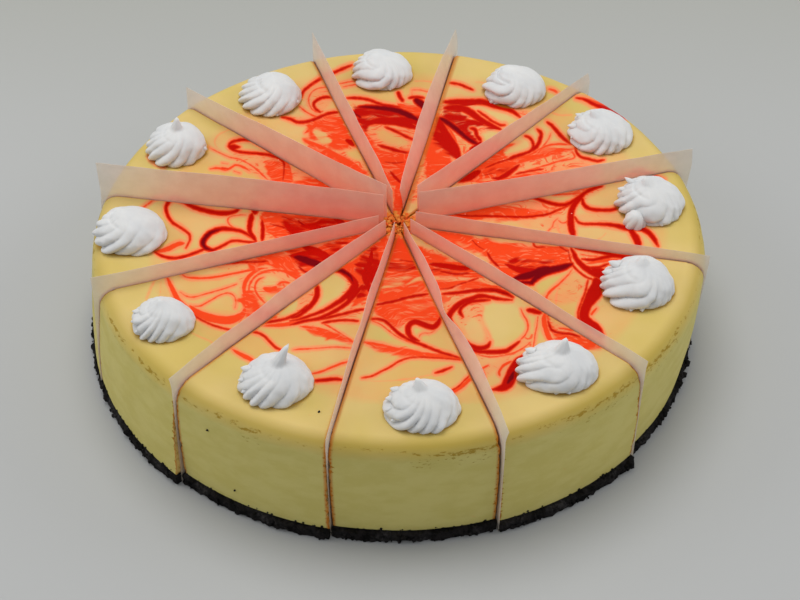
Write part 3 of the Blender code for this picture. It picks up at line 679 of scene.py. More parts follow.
# Patches of the swirl: what fills them, how much, and an outline. S is thin wash, R red
# threads, D deep red threads, and Y bare filling that shows through.
PATCHES = (
    # washes
    ("S", 0.27, (160, 190), (220, 130), (300, 80), (420, 75), (540, 95), (640, 170), (665, 250), (610, 345),
     (500, 400), (330, 395), (180, 320), (150, 250)),
    ("S", 0.85, (262, 204), (335, 206), (392, 214), (392, 240), (350, 262), (292, 262), (262, 244)),
    ("S", 0.80, (230, 150), (282, 158), (296, 184), (262, 180), (236, 164)),
    ("S", 0.85, (306, 132), (342, 112), (352, 132), (372, 176), (330, 160), (302, 142)),
    ("S", 0.70, (300, 98), (330, 82), (334, 100), (318, 118)),
    ("S", 0.95, (352, 112), (428, 120), (420, 200), (386, 190), (366, 150)),
    ("S", 0.80, (345, 98), (400, 104), (426, 98), (430, 130), (392, 124), (356, 112)),
    ("S", 0.85, (425, 100), (520, 106), (528, 116), (480, 120), (502, 132), (470, 152), (458, 160),
     (430, 150)),
    ("S", 0.95, (425, 160), (460, 140), (480, 160), (476, 182), (430, 184)),
    ("S", 0.90, (455, 184), (462, 160), (496, 140), (545, 144), (575, 148), (574, 160), (520, 172),
     (505, 180)),
    ("S", 1.00, (420, 206), (470, 202), (560, 188), (604, 186), (580, 204), (560, 216), (530, 220),
     (470, 222),
     (414, 216)),
    ("S", 0.70, (490, 200), (560, 190), (576, 204), (576, 238), (545, 232), (520, 226)),
    ("S", 0.90, (470, 234), (500, 238), (560, 246), (572, 262), (530, 272), (480, 258)),
    ("S", 0.90, (404, 228), (450, 232), (478, 250), (470, 262), (430, 244)),
    ("S", 0.90, (384, 236), (440, 250), (480, 270), (520, 292), (470, 300), (440, 320), (408, 330),
     (366, 318),
     (372, 270)),
    ("S", 0.85, (356, 338), (400, 345), (463, 359), (420, 357), (380, 353)),
    ("S", 0.85, (320, 262), (374, 240), (372, 300), (350, 322), (300, 326), (290, 318), (312, 300),
     (316, 285)),
    ("S", 0.80, (236, 276), (262, 266), (300, 262), (318, 290), (300, 322), (262, 326), (240, 306)),
    ("S", 0.75, (262, 216), (330, 208), (380, 222), (340, 270), (292, 266), (250, 250)),
    ("S", 0.65, (545, 300), (570, 266), (590, 278), (582, 300), (556, 306)),
    ("S", 0.85, (544, 314), (585, 334), (604, 345), (584, 352), (548, 340)),
    ("S", 0.70, (470, 348), (528, 330), (534, 348), (512, 364), (480, 380), (474, 362)),
    ("S", 0.75, (448, 300), (480, 298), (486, 318), (490, 342), (466, 340)),
    ("S", 0.55, (576, 212), (620, 212), (628, 224), (576, 222)),
    ("S", 0.80, (574, 248), (640, 256), (606, 278), (580, 264)),
    ("S", 0.70, (280, 116), (340, 112), (330, 122), (290, 124)),
    ("S", 0.65, (184, 256), (262, 256), (270, 272), (206, 270)),
    ("S", 0.60, (188, 306), (244, 312), (262, 326), (232, 332), (200, 324)),
    ("S", 0.55, (515, 230), (560, 236), (566, 248), (530, 246)),
    ("S", 0.60, (520, 290), (560, 280), (556, 300), (536, 310), (522, 304)),
    # behind the sheets
    ("S", 0.90, (300, 166), (345, 188), (386, 212), (330, 210), (266, 203), (256, 186), (276, 172)),
    ("S", 0.90, (420, 216), (448, 192), (480, 180), (530, 166), (575, 158), (604, 168), (590, 182),
     (540, 192),
     (480, 206)),
    ("R", 0.70, (310, 176), (345, 192), (390, 214), (340, 209), (296, 204), (280, 194), (292, 182)),
    ("R", 0.68, (408, 218), (436, 198), (466, 186), (520, 174), (552, 172), (530, 184), (500, 196),
     (450, 209)),
    ("D", 0.56, (318, 190), (350, 200), (386, 212), (340, 208), (306, 203), (300, 194)),
    ("D", 0.52, (430, 207), (460, 194), (500, 184), (520, 184), (490, 197), (452, 207)),
    # pale islands
    ("Y", 0.85, (464, 108), (482, 107), (506, 112), (516, 118), (504, 123), (488, 119), (474, 113)),
    ("Y", 0.90, (481, 134), (492, 131), (500, 132), (486, 142), (479, 141)),
    ("Y", 0.80, (503, 152), (520, 143), (529, 140), (531, 147), (520, 153), (508, 156)),
    ("Y", 0.50, (376, 131), (386, 129), (396, 133), (408, 141), (404, 146), (392, 144), (380, 140)),
    ("Y", 0.80, (346, 152), (358, 150), (368, 158), (360, 160), (350, 157)),
    ("Y", 0.60, (312, 128), (322, 130), (332, 142), (322, 143), (314, 136)),
    ("Y", 0.90, (320, 272), (336, 272), (346, 280), (342, 292), (326, 306), (312, 312), (320, 296)),
    ("Y", 0.90, (288, 304), (298, 300), (296, 310), (286, 314), (278, 318)),
    ("Y", 0.60, (262, 280), (270, 276), (280, 280), (274, 288), (264, 290)),
    ("Y", 0.90, (266, 296), (280, 298), (288, 296), (276, 304), (268, 304)),
    ("Y", 0.90, (404, 326), (412, 322), (430, 330), (424, 340), (440, 350), (420, 342)),
    ("Y", 0.85, (366, 322), (376, 321), (392, 330), (402, 338), (384, 340), (366, 336)),
    ("Y", 0.30, (420, 236), (450, 238), (472, 246), (484, 256), (460, 254), (440, 246)),
    ("Y", 0.35, (382, 280), (420, 278), (440, 278), (400, 288), (384, 294)),
    ("Y", 0.85, (484, 303), (508, 302), (522, 312), (526, 326), (520, 338), (500, 348), (490, 344),
     (492, 334),
     (484, 318)),
    ("Y", 0.60, (464, 326), (474, 318), (484, 332), (482, 342), (470, 338)),
    ("Y", 0.35, (488, 240), (504, 238), (516, 242), (502, 247), (492, 245)),
    ("Y", 0.80, (536, 284), (552, 276), (560, 274), (552, 286), (540, 294)),
    ("Y", 0.80, (530, 200), (552, 196), (572, 196), (562, 201), (544, 200)),
    # red
    ("R", 0.72, (272, 209), (300, 211), (340, 216), (372, 220), (345, 228), (318, 234), (290, 238),
     (274, 240)),
    ("R", 0.78, (282, 250), (300, 246), (330, 240), (352, 234), (372, 226), (372, 232), (352, 246),
     (325, 266),
     (312, 274), (300, 271), (290, 262)),
    ("R", 0.74, (388, 232), (388, 246), (384, 264), (376, 284), (364, 302), (350, 310), (352, 300),
     (358, 285),
     (350, 275), (342, 268), (352, 260), (368, 248)),
    ("R", 0.76, (384, 240), (400, 236), (420, 246), (450, 260), (482, 272), (478, 277), (440, 277),
     (400, 277),
     (382, 277)),
    ("R", 0.62, (380, 277), (440, 278), (490, 282), (500, 290), (440, 292), (376, 304)),
    ("R", 0.60, (372, 306), (436, 296), (442, 316), (434, 324), (410, 322), (396, 328), (380, 318)),
    ("R", 0.74, (476, 236), (490, 248), (520, 250), (552, 246), (570, 250), (568, 262), (545, 268),
     (530, 275),
     (510, 280), (497, 268), (486, 254)),
    ("R", 0.66, (430, 208), (480, 203), (520, 208), (552, 212), (520, 220), (480, 220), (440, 217)),
    ("R", 0.60, (364, 342), (400, 348), (440, 355), (420, 357), (380, 352)),
    ("R", 0.55, (300, 326), (330, 330), (352, 342), (330, 340), (310, 334)),
    ("R", 0.60, (304, 120), (340, 113), (347, 126), (354, 142), (342, 152), (326, 146), (310, 138)),
    ("R", 0.74, (302, 138), (320, 146), (345, 158), (368, 174), (358, 172), (336, 162), (312, 150)),
    ("R", 0.70, (346, 134), (358, 136), (362, 150), (350, 146)),
    ("R", 0.72, (296, 184), (320, 177), (346, 190), (320, 190)),
    ("R", 0.62, (262, 160), (284, 160), (294, 182), (272, 184)),
    ("R", 0.66, (382, 160), (406, 158), (408, 172), (398, 186), (386, 176)),
    ("R", 0.55, (394, 180), (402, 180), (404, 214), (392, 214)),
    ("R", 0.66, (404, 104), (426, 108), (426, 130), (412, 124)),
    ("R", 0.66, (424, 152), (446, 158), (452, 168), (430, 176)),
    ("R", 0.74, (458, 183), (475, 174), (490, 166), (520, 158), (534, 156), (516, 168), (506, 178),
     (494, 179),
     (478, 182)),
    ("R", 0.60, (530, 150), (572, 146), (574, 152), (540, 156)),
    ("R", 0.66, (366, 144), (390, 150), (412, 150), (410, 172), (398, 188), (384, 178), (372, 160)),
    ("R", 0.60, (352, 108), (372, 110), (366, 126), (376, 140), (366, 146), (354, 130)),
    ("R", 0.72, (422, 110), (438, 114), (448, 146), (454, 172), (430, 182), (424, 150)),
    ("R", 0.74, (412, 229), (450, 232), (500, 241), (548, 252), (530, 262), (486, 256), (450, 250),
     (424, 242)),
    ("R", 0.58, (466, 150), (490, 140), (520, 146), (508, 160), (486, 170), (466, 176)),
    ("R", 0.64, (262, 206), (330, 206), (380, 216), (384, 232), (330, 240), (290, 244), (262, 226)),
    ("R", 0.62, (246, 262), (270, 250), (290, 252), (300, 272), (308, 284), (292, 274), (270, 268),
     (250, 272)),
    ("R", 0.50, (262, 282), (276, 280), (286, 288), (272, 294)),
    ("R", 0.55, (236, 300), (250, 286), (262, 306), (280, 320), (250, 322)),
    ("R", 0.66, (546, 314), (560, 330), (590, 336), (604, 345), (584, 348), (556, 340)),
    # deep red
    ("D", 0.58, (276, 212), (300, 214), (340, 217), (350, 224), (318, 232), (290, 236)),
    ("D", 0.62, (286, 251), (310, 247), (340, 240), (352, 240), (340, 252), (322, 266), (300, 268),
     (290, 260)),
    ("D", 0.62, (362, 250), (378, 246), (382, 266), (374, 286), (358, 302), (354, 296), (362, 280),
     (352, 270)),
    ("D", 0.52, (384, 258), (420, 262), (450, 268), (480, 272), (450, 274), (400, 272), (382, 272)),
    ("D", 0.50, (500, 256), (540, 258), (560, 256), (548, 266), (520, 272)),
    ("D", 0.66, (353, 106), (380, 105), (402, 109), (426, 118), (422, 128), (400, 123), (385, 120),
     (372, 124),
     (366, 133), (358, 124), (352, 114)),
    ("D", 0.66, (440, 104), (456, 100), (484, 101), (470, 109), (464, 113), (478, 120), (500, 128),
     (496, 131),
     (478, 128), (470, 128), (482, 143), (470, 141), (455, 128), (442, 116)),
    ("D", 0.64, (436, 116), (446, 130), (453, 143), (460, 158), (452, 159), (440, 148), (431, 140),
     (433, 126)),
    ("D", 0.50, (470, 178), (500, 166), (520, 162), (508, 174), (494, 178)),
)


# Small tools

def between(start, end, share):
    """Return the value a share of the way from start to end."""
    return start + (end - start) * share


def half_cut(radius):
    """Half the width of a cut, which closes towards the torn middle."""
    share = (radius - TORN_TIP_RADIUS) / (SLICE_TIP_RADIUS - TORN_TIP_RADIUS)
    return between(TIP_HALF_CUT, HALF_CUT, min(1.0, share))


def slice_angle(radius, start, end, share):
    """Angle a share of the way across a slice whose sides stand half a cut from its cuts."""
    inset = math.asin(half_cut(radius) / radius)
    return between(start + inset, end - inset, share)


def wander(point, scale, seed=0.0):
    """Smooth noise from about -1 to 1 at a point, with features about scale metres wide."""
    x, y, z = point
    return noise.noise(Vector((x / scale + seed, y / scale - seed, z / scale)))


def relief(point, waves):
    """Sum of the noises at a point, from rows of size, share and seed."""
    return sum(share * wander(point, size, seed) for size, share, seed in waves)


def smooth_line(points, steps=5):
    """Return a smooth line through the points, as an array."""
    p = np.array(points, float)
    if len(p) < 3:
        return p
    before = np.vstack([2 * p[0] - p[1], p[:-1]])
    after = np.vstack([p[1:], 2 * p[-1] - p[-2]])
    made = []
    for index in range(len(p) - 1):
        a, b, c, d = before[index], p[index], p[index + 1], after[index + 1]
        for step in range(steps):
            t = step / steps
            made.append(0.5 * (
                2 * b + (c - a) * t + (2 * a - 5 * b + 4 * c - d) * t ** 2
                + (3 * b - a - 3 * c + d) * t ** 3
            ))
    made.append(p[-1])
    return np.array(made)


def make_mesh(name, points, faces, material, sharp_degrees):
    """Make a mesh object that is smooth but for its sharp edges."""
    mesh = bpy.data.meshes.new(name)
    mesh.from_pydata([tuple(p) for p in points], [], faces)
    mesh.materials.append(material)
    mesh.shade_smooth()
    mesh.set_sharp_from_angle(angle=math.radians(sharp_degrees))
    made = bpy.data.objects.new(name, mesh)
    bpy.context.scene.collection.objects.link(made)
    return made


def put_field(piece, name, values):
    """Store one value a point, for the piece's material to read."""
    layer = piece.data.attributes.new(name, "FLOAT", "POINT")
    layer.data.foreach_set("value", np.asarray(values, np.float32))


def dress(piece, node):
    """Let a piece stand for its solid."""
    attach(piece, "root")
    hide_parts(node)
    return piece


def stitch(lower, upper):
    """Triangles between two rows of vertex numbers that may differ in length."""
    faces = []
    low = high = 0
    last_low, last_high = len(lower) - 1, len(upper) - 1
    while low < last_low or high < last_high:
        low_next = (low + 1) / last_low if low < last_low else 2
        high_next = (high + 1) / last_high if high < last_high else 2
        if low_next <= high_next:
            faces.append((lower[low], lower[low + 1], upper[high]))
            low += 1
        else:
            faces.append((lower[low], upper[high + 1], upper[high]))
            high += 1
    return faces


def close_slice(rows):
    """Faces of a slice from its rows of vertex numbers, with its two cut faces last."""
    faces = []
    for lower, upper in zip(rows, rows[1:] + rows[:1]):
        faces += stitch(lower, upper)
    faces.append([row[0] for row in reversed(rows)])
    faces.append([row[-1] for row in rows])
    return faces


def ring_faces(first, rows, columns, outward=True):
    """Four-sided faces of closed rings of points that lie one above the other."""
    faces = []
    for row in range(rows - 1):
        for column in range(columns):
            a = first + row * columns + column
            b = first + row * columns + (column + 1) % columns
            face = (a, b, b + columns, a + columns)
            faces.append(face if outward else (a, a + columns, b + columns, b))
    return faces


# The camera and the photograph

def camera_axes():
    """Return the camera's place and its right, up and forward directions."""
    forward = Vector((0, math.cos(ELEVATION), -math.sin(ELEVATION)))
    right = Vector((1, 0, 0))
    up = right.cross(forward)
    turned_right = right * math.cos(ROLL) + up * math.sin(ROLL)
    turned_up = up * math.cos(ROLL) - right * math.sin(ROLL)
    target = Vector(TARGET) + Vector((*CAKE_AXIS, 0))
    return target - forward * DISTANCE, turned_right, turned_up, forward


def to_pixels(points):
    """Pixel of the photograph in which each point lies."""
    place, right, up, forward = (np.array(v) for v in camera_axes())
    d = np.asarray(points) - place
    depth = d @ forward
    x = IMAGE_SIZE[0] / 2 + FOCAL_PIXELS * (d @ right) / depth
    y = IMAGE_SIZE[1] / 2 - FOCAL_PIXELS * (d @ up) / depth
    return np.stack([x, y], 1)


def make_camera():
    place, right, up, forward = camera_axes()
    data = bpy.data.cameras.new("camera")
    data.sensor_fit = "HORIZONTAL"
    data.sensor_width = SENSOR_WIDTH
    data.lens = FOCAL_PIXELS / IMAGE_SIZE[0] * SENSOR_WIDTH
    data.clip_start = NEAREST_SEEN
    data.clip_end = FARTHEST_SEEN
    camera = bpy.data.objects.new("camera", data)
    bpy.context.scene.collection.objects.link(camera)
    turned = Matrix((right, up, -forward)).transposed().to_4x4()
    camera.matrix_world = Matrix.Translation(place) @ turned
    bpy.context.scene.camera = camera


# The swirl

def segment_share(pixels, a, along):
    """Share of the way along a segment at which each pixel is nearest to it, and its gap."""
    share = np.clip(((pixels - a) @ along) / max(along @ along, TINY), 0, 1)
    return share, np.hypot(*(pixels - a - share[:, None] * along).T)


def near_line(pixels, line, reach):
    """Numbers of the pixels in the box of a line, widened by a reach."""
    low, high = line.min(0) - reach, line.max(0) + reach
    return np.nonzero(np.all((pixels > low) & (pixels < high), axis=1))[0]


def add_stroke(fields, pixels, tone, width, points):
    """Raise the fields of a stroke's tone, and of the lighter ones, near its line."""
    line = smooth_line(points)
    steps = np.hypot(*np.diff(line, axis=0).T)
    share = np.concatenate([[0], np.cumsum(steps)]) / steps.sum()
    widths = (width, width) if np.isscalar(width) else width
    drawn = np.interp(share, np.linspace(0, 1, len(widths)), widths)
    half = np.maximum(drawn - THINNER, LEAST_WIDTH) / 2
    ends = np.clip(np.minimum(share, 1 - share) / TAPER, 0, 1) ** TAPER_POWER
    half *= TAPER_END + (1 - TAPER_END) * ends
    halo = TONE_HALO[tone]
    chosen = near_line(pixels, line, half.max() + halo[0] + FIELD_LIMIT)
    best = np.full(len(chosen), -FAR_OFF)
    for a, b, half_a, half_b in zip(line[:-1], line[1:], half[:-1], half[1:]):
        t, gap = segment_share(pixels[chosen], a, b - a)
        best = np.maximum(best, half_a + (half_b - half_a) * t - gap)
    for field, extra in zip(fields, halo):
        field[chosen] = np.maximum(field[chosen], best + extra / 2)


def inside_depth(pixels, outline):
    """How far inside an outline each pixel lies, negative outside."""
    line = smooth_line([*outline, outline[0]])
    inside = np.zeros(len(pixels), bool)
    depth = np.full(len(pixels), FAR_OFF)
    x, y = pixels.T
    for a, b in zip(line[:-1], line[1:]):
        along = b - a
        depth = np.minimum(depth, segment_share(pixels, a, along)[1])
        crosses = (a[1] > y) != (b[1] > y)
        rise = b[1] - a[1] if abs(b[1] - a[1]) > TINY else TINY
        inside ^= crosses & (x < a[0] + (y - a[1]) / rise * along[0])
    return np.where(inside, depth, -depth)


def swirl_fields(points):
    """Wash, red, deep and dark fields of the strokes, in pixels from their edges, and the
    strength of the patches of each kind."""
    pixels = to_pixels(points)
    fields = [np.full(len(pixels), -FIELD_LIMIT) for _ in TONE_ORDER]
    for tone, width, *line in STROKES:
        add_stroke(fields, pixels, tone, width, line)
    patches = {kind: np.zeros(len(pixels)) for kind in PATCH_KINDS}
    bare = np.zeros(len(pixels))
    for kind, strength, *outline in PATCHES:
        chosen = near_line(pixels, np.array(outline, float), WASH_SOFT)
        depth = inside_depth(pixels[chosen], outline)
        soft = BARE_SOFT if kind == "Y" else WASH_SOFT
        share = strength * np.clip(0.5 + depth / (2 * soft), 0, 1)
        field = bare if kind == "Y" else patches[kind]
        field[chosen] = np.maximum(field[chosen], share)
    strokes = [np.clip(f, -FIELD_LIMIT, FIELD_LIMIT) for f in fields]
    return strokes + [patches[kind] * (1 - bare) for kind in PATCH_KINDS]


# Shader nodes

def new_material(name):
    made = bpy.data.materials.new(name)
    made.use_nodes = True
    tree = made.node_tree
    return made, tree, tree.nodes["Principled BSDF"]


def plug(tree, socket, value):
    """Link a socket to another socket, or set its number or colour."""
    if isinstance(value, bpy.types.NodeSocket):
        tree.links.new(value, socket)
    else:
        socket.default_value = value


def node(tree, kind, settings=None, **inputs):
    """Add a shader node; inputs may be numbers, colours or sockets, named with _ for a space."""
    made = tree.nodes.new(kind)
    for key, value in (settings or {}).items():
        setattr(made, key, value)
    for key, value in inputs.items():
        plug(tree, made.inputs[key.replace("_", " ")], value)
    return made


def maths(tree, operation, first, second=0.0):
    made = tree.nodes.new("ShaderNodeMath")
    made.operation = operation
    plug(tree, made.inputs[0], first)
    plug(tree, made.inputs[1], second)
    return made.outputs[0]


def times(tree, value, factor):
    return maths(tree, "MULTIPLY", value, factor)


def plus(tree, first, second):
    return maths(tree, "ADD", first, second)


def most(tree, first, second):
    return maths(tree, "MAXIMUM", first, second)


def distance_to(tree, value, level):
    """How far a value is from a level, either way."""
    return maths(tree, "ABSOLUTE", maths(tree, "SUBTRACT", value, level))


def remap(tree, value, window, result=(0.0, 1.0)):
    """Turn a value's run through a window into a smooth run through the result."""
    made = node(tree, "ShaderNodeMapRange", {"interpolation_type": "SMOOTHSTEP"})
    plug(tree, made.inputs["Value"], value)
    plug(tree, made.inputs["From Min"], window[0])
    plug(tree, made.inputs["From Max"], window[1])
    plug(tree, made.inputs["To Min"], result[0])
    plug(tree, made.inputs["To Max"], result[1])
    return made.outputs["Result"]


def mix(tree, share, first, second):
    """Mix two colours."""
    made = tree.nodes.new("ShaderNodeMix")
    made.data_type = "RGBA"
    plug(tree, made.inputs[0], share)
    for number, colour in ((6, first), (7, second)):
        plug(tree, made.inputs[number], (*colour, 1.0) if isinstance(colour, tuple) else colour)
    return made.outputs[2]


def object_place(tree):
    return node(tree, "ShaderNodeTexCoord").outputs["Object"]


def object_share(tree, direction):
    """One coordinate, X, Y or Z, of each place."""
    return node(tree, "ShaderNodeSeparateXYZ", Vector=object_place(tree)).outputs[direction]


def noise_at(tree, settings, stretch=None, place=None):
    """Noise of a given scale, detail and roughness, stretched if asked."""
    scale, detail, roughness = settings
    if place is None:
        place = object_place(tree)
    if stretch:
        place = node(tree, "ShaderNodeMapping", Vector=place, Scale=stretch).outputs["Vector"]
    made = node(tree, "ShaderNodeTexNoise", Scale=scale, Detail=detail, Roughness=roughness, Vector=place)
    return made.outputs["Fac"]


def attribute(tree, name):
    return node(tree, "ShaderNodeAttribute", {"attribute_name": name}).outputs["Fac"]


def set_surface(tree, shader, colour, roughness, gloss, height, strength, depth):
    """Give a shader its colour, roughness and gloss, and bumps of a strength and depth."""
    plug(tree, shader.inputs["Base Color"], colour)
    plug(tree, shader.inputs["Roughness"], roughness)
    shader.inputs["Specular IOR Level"].default_value = gloss
    bump = node(tree, "ShaderNodeBump", Height=height, Strength=strength, Distance=depth)
    plug(tree, shader.inputs["Normal"], bump.outputs["Normal"])


def set_glow(shader, weight, radius):
    """Let light wander under the surface."""
    shader.inputs["Subsurface Weight"].default_value = weight
    shader.inputs["Subsurface Radius"].default_value = radius
    shader.inputs["Subsurface Scale"].default_value = 1.0


# The filling's material: colours

YELLOW = (0.660, 0.490, 0.185)
YELLOW_DEEP = (0.600, 0.450, 0.135)
WALL_YELLOW = (0.585, 0.503, 0.158)
WALL_PALE = (0.625, 0.545, 0.192)
# Painted shade under the rim
RIM_SHADE_YELLOW = (0.440, 0.315, 0.048)
SALMON = (0.880, 0.240, 0.105)
RED = (0.860, 0.062, 0.012)
DEEP_RED = (0.500, 0.004, 0.001)
DARK_RED = (0.180, 0.001, 0.004)
# Painted glints of highlight on the swirl
PAINTED_GLINT = (0.930, 0.480, 0.360)
TORN = (0.740, 0.105, 0.020)
TORN_PALE = (0.740, 0.270, 0.050)
PIT = (0.340, 0.215, 0.025)
NICK = (0.380, 0.190, 0.015)
# Painted shade of the gap beside a sheet
GAP_SHADE = (0.500, 0.140, 0.020)
# Painted shade round the rosettes' feet
CONTACT_SHADE = (0.500, 0.260, 0.030)
CUT_FACE = (0.720, 0.500, 0.170)
CUT_EDGE = (0.780, 0.300, 0.040)
# Noises: features a metre, detail and roughness, some with a stretch in each direction
BROAD = (28.0, 2.0, 0.5)
FINE = (420.0, 3.0, 0.6)
MOTTLE = (110.0, 4.0, 0.6)
STREAKS = (75.0, 5.0, 0.62)
STREAK_STRETCH = (1.0, 1.0, 2.2)
NICKS = (360.0, 3.0, 0.6)
NICK_STRETCH = (1.0, 1.0, 1.9)
WAVER = (22.0, 2.0, 0.5)
DASHES = (380.0, 4.0, 0.66)
DASH_STRETCH = (1.0, 1.0, 2.8)
GROUPS = (45.0, 2.0, 0.5)
# Threads: features a metre of their bends, stretch, and features a metre of the threads
RED_THREADS = (38.0, (0.40, 1.6, 1.0), 190.0)
FINE_THREADS = (52.0, (0.34, 1.9, 1.0), 420.0)
PALE_THREADS = (44.0, (0.36, 2.1, 1.0), 360.0)
DEEP_THREADS = (31.0, (0.35, 1.8, 1.0), 190.0)
THREAD_BEND = 0.030
THREAD_DETAIL = (2.0, 0.5)
# How far noise moves the strokes' edges, in pixels
EDGE_WOBBLE = 1.6
WASH_WOBBLE = 4.0
# The wavering line of pits under the rim
PIT_HEIGHT = 0.0486
LOWER_PITS = PIT_HEIGHT - 0.0030
PIT_WAVER = 0.0060
GROUP_SHARE = 0.10
NEAR_SHARE = 0.16
PIT_LINE = (0.0003, 0.0015)
LOWER_LINE = (0.0015, 0.0040)
LOWER_SHARE = (0.45, 0.0)
GROUP_TURN = (0.40, 0.60)
PIT_TURN = (0.735, 0.85)
PIT_NEAR = (0.0, 0.2)
# Painted highlights, specks of light on the swirl: how many a metre, which share of them shows none, and
# their size
GLINTS = 230.0
DULL_GLINTS = 0.86
GLINT_DOT = (0.03, 0.08)
# Windows over which a noise or a field turns one colour into the next, and shares
BASE_TURN = (0.35, 0.65)
WALL_TURN = (0.36, 0.64)
RIM_SHADE_SHARE = 0.76
WASH_EDGE = (-2.0, 2.0)
WASH_SHARE = (0.0, 0.85)
PATCH_TURN = (0.20, 0.70)
PATCH_SHARE = (0.55, 1.0)
RED_EDGE = (-0.7, 0.8)
RED_TURN = (0.72, 1.06)
FINE_PATCH = 0.36
FINE_TURN = (0.82, 0.96)
FINE_SHARE = (0.0, 0.80)
PALE_TURN = (0.54, 0.66)
PALE_SHARE = (0.0, 0.85)
DEEP_EDGE = (-0.8, 1.0)
DEEP_TURN = (0.82, 1.16)
DARK_EDGE = (-0.8, 1.4)
PIT_STRENGTH = 0.85
NICK_EDGE = 0.46
NICK_TURN = (0.86, 0.95)
CONTACT_SHADE_STRENGTH = 0.70
RAGGED_TURN = (0.42, 0.58)
TORN_TURN = (0.75, 1.15)
# Roughness off and on the swirl, and how far each mark rises or falls in the bumps
FILLING_ROUGHNESS = (0.50, 0.30)
RED_RISE = 0.6
FINE_RISE = 0.25
MOTTLE_RISE = 0.5
PIT_FALL = 1.2


def filling_colour(tree, fine, mottle, red_share, pits):
    """Colour of the filling: baked yellow, the swirl in its four tones, its marks, and painted shade and
    painted glints.
    """
    colour = mix(tree, remap(tree, noise_at(tree, BROAD), BASE_TURN), YELLOW, YELLOW_DEEP)
    streaks = noise_at(tree, STREAKS, STREAK_STRETCH)
    wall = mix(tree, remap(tree, streaks, WALL_TURN), WALL_YELLOW, WALL_PALE)
    colour = mix(tree, attribute(tree, "wall"), colour, wall)
    # Painted shade: darker gold just under the rim, most on the front side
    colour = mix(tree, times(tree, attribute(tree, "rim"), RIM_SHADE_SHARE), colour, RIM_SHADE_YELLOW)

    moved = times(tree, maths(tree, "SUBTRACT", mottle, 0.5), WASH_WOBBLE)
    wash = remap(tree, plus(tree, attribute(tree, "wash"), moved), WASH_EDGE, WASH_SHARE)
    patch = times(tree, attribute(tree, "wash_patch"), remap(tree, mottle, PATCH_TURN, PATCH_SHARE))
    colour = mix(tree, most(tree, wash, patch), colour, SALMON)
    colour = mix(tree, red_share, colour, RED)
    pale = remap(tree, thread_noise(tree, PALE_THREADS), PALE_TURN, PALE_SHARE)
    colour = mix(tree, times(tree, pale, attribute(tree, "red_patch")), colour, SALMON)
    threads = plus(tree, thread_noise(tree, DEEP_THREADS), attribute(tree, "deep_patch"))
    deep = remap(tree, wobbling(tree, "deep", fine), DEEP_EDGE)
    colour = mix(tree, most(tree, deep, remap(tree, threads, DEEP_TURN)), colour, DEEP_RED)
    colour = mix(tree, remap(tree, wobbling(tree, "dark", fine), DARK_EDGE), colour, DARK_RED)
    # Painted glints on the swirl
    colour = mix(tree, times(tree, painted_glint_share(tree), red_share), colour, PAINTED_GLINT)

    colour = mix(tree, times(tree, pits, PIT_STRENGTH), colour, PIT)
    edge = times(tree, attribute(tree, "edge"), NICK_EDGE)
    nicks = plus(tree, noise_at(tree, NICKS, NICK_STRETCH), edge)
    colour = mix(tree, remap(tree, nicks, NICK_TURN), colour, NICK)
    # Painted shade of the gaps beside the sheets
    colour = mix(tree, attribute(tree, "lip"), colour, GAP_SHADE)
    # Painted shade round the foot of each rosette
    colour = mix(tree, times(tree, attribute(tree, "contact"), CONTACT_SHADE_STRENGTH), colour, CONTACT_SHADE)
    ragged = mix(tree, remap(tree, fine, RAGGED_TURN), TORN, TORN_PALE)
    torn = remap(tree, plus(tree, attribute(tree, "torn"), mottle), TORN_TURN)
    return mix(tree, torn, colour, ragged)


def filling_material():
    """Baked filling with a fruit swirl, glossy where the swirl lies."""
    made, tree, shader = new_material("filling")
    fine = noise_at(tree, FINE)
    mottle = noise_at(tree, MOTTLE)
    threads = plus(tree, thread_noise(tree, RED_THREADS), attribute(tree, "red_patch"))
    fine_threads = thread_noise(tree, FINE_THREADS)
    fine_threads = plus(tree, fine_threads, times(tree, attribute(tree, "wash_patch"), FINE_PATCH))
    fine_share = remap(tree, fine_threads, FINE_TURN, FINE_SHARE)
    red_threads = most(tree, remap(tree, threads, RED_TURN), fine_share)
    red_share = most(tree, remap(tree, wobbling(tree, "red", fine), RED_EDGE), red_threads)
    pits = pit_share(tree)
    height = plus(tree, times(tree, red_share, RED_RISE), times(tree, fine, FINE_RISE))
    height = plus(tree, height, times(tree, mottle, MOTTLE_RISE))
    height = maths(tree, "SUBTRACT", height, times(tree, pits, PIT_FALL))
    colour = filling_colour(tree, fine, mottle, red_share, pits)
    roughness = remap(tree, red_share, (0.0, 1.0), FILLING_ROUGHNESS)
    set_surface(tree, shader, colour, roughness, 0.02, height, 0.30, 0.0004)
    set_glow(shader, 0.06, (0.004, 0.0025, 0.001))
    return made


def wobbling(tree, name, fine):
    """A tone's field with its edges moved by the fine noise."""
    return plus(tree, attribute(tree, name), times(tree, maths(tree, "SUBTRACT", fine, 0.5), EDGE_WOBBLE))


def pit_share(tree):
    """Short level pits in a wavering line round the wall under the rim."""
    waver = times(tree, maths(tree, "SUBTRACT", noise_at(tree, WAVER), 0.5), PIT_WAVER)
    height = plus(tree, object_share(tree, "Z"), waver)
    near = remap(tree, distance_to(tree, height, PIT_HEIGHT), PIT_LINE, (1.0, 0.0))
    lower = remap(tree, distance_to(tree, height, LOWER_PITS), LOWER_LINE, LOWER_SHARE)
    near = plus(tree, near, lower)
    groups = remap(tree, noise_at(tree, GROUPS), GROUP_TURN)
    dense = plus(tree, noise_at(tree, DASHES, DASH_STRETCH), times(tree, groups, GROUP_SHARE))
    dense = plus(tree, dense, times(tree, near, NEAR_SHARE))
    return times(tree, remap(tree, dense, PIT_TURN), remap(tree, near, PIT_NEAR))


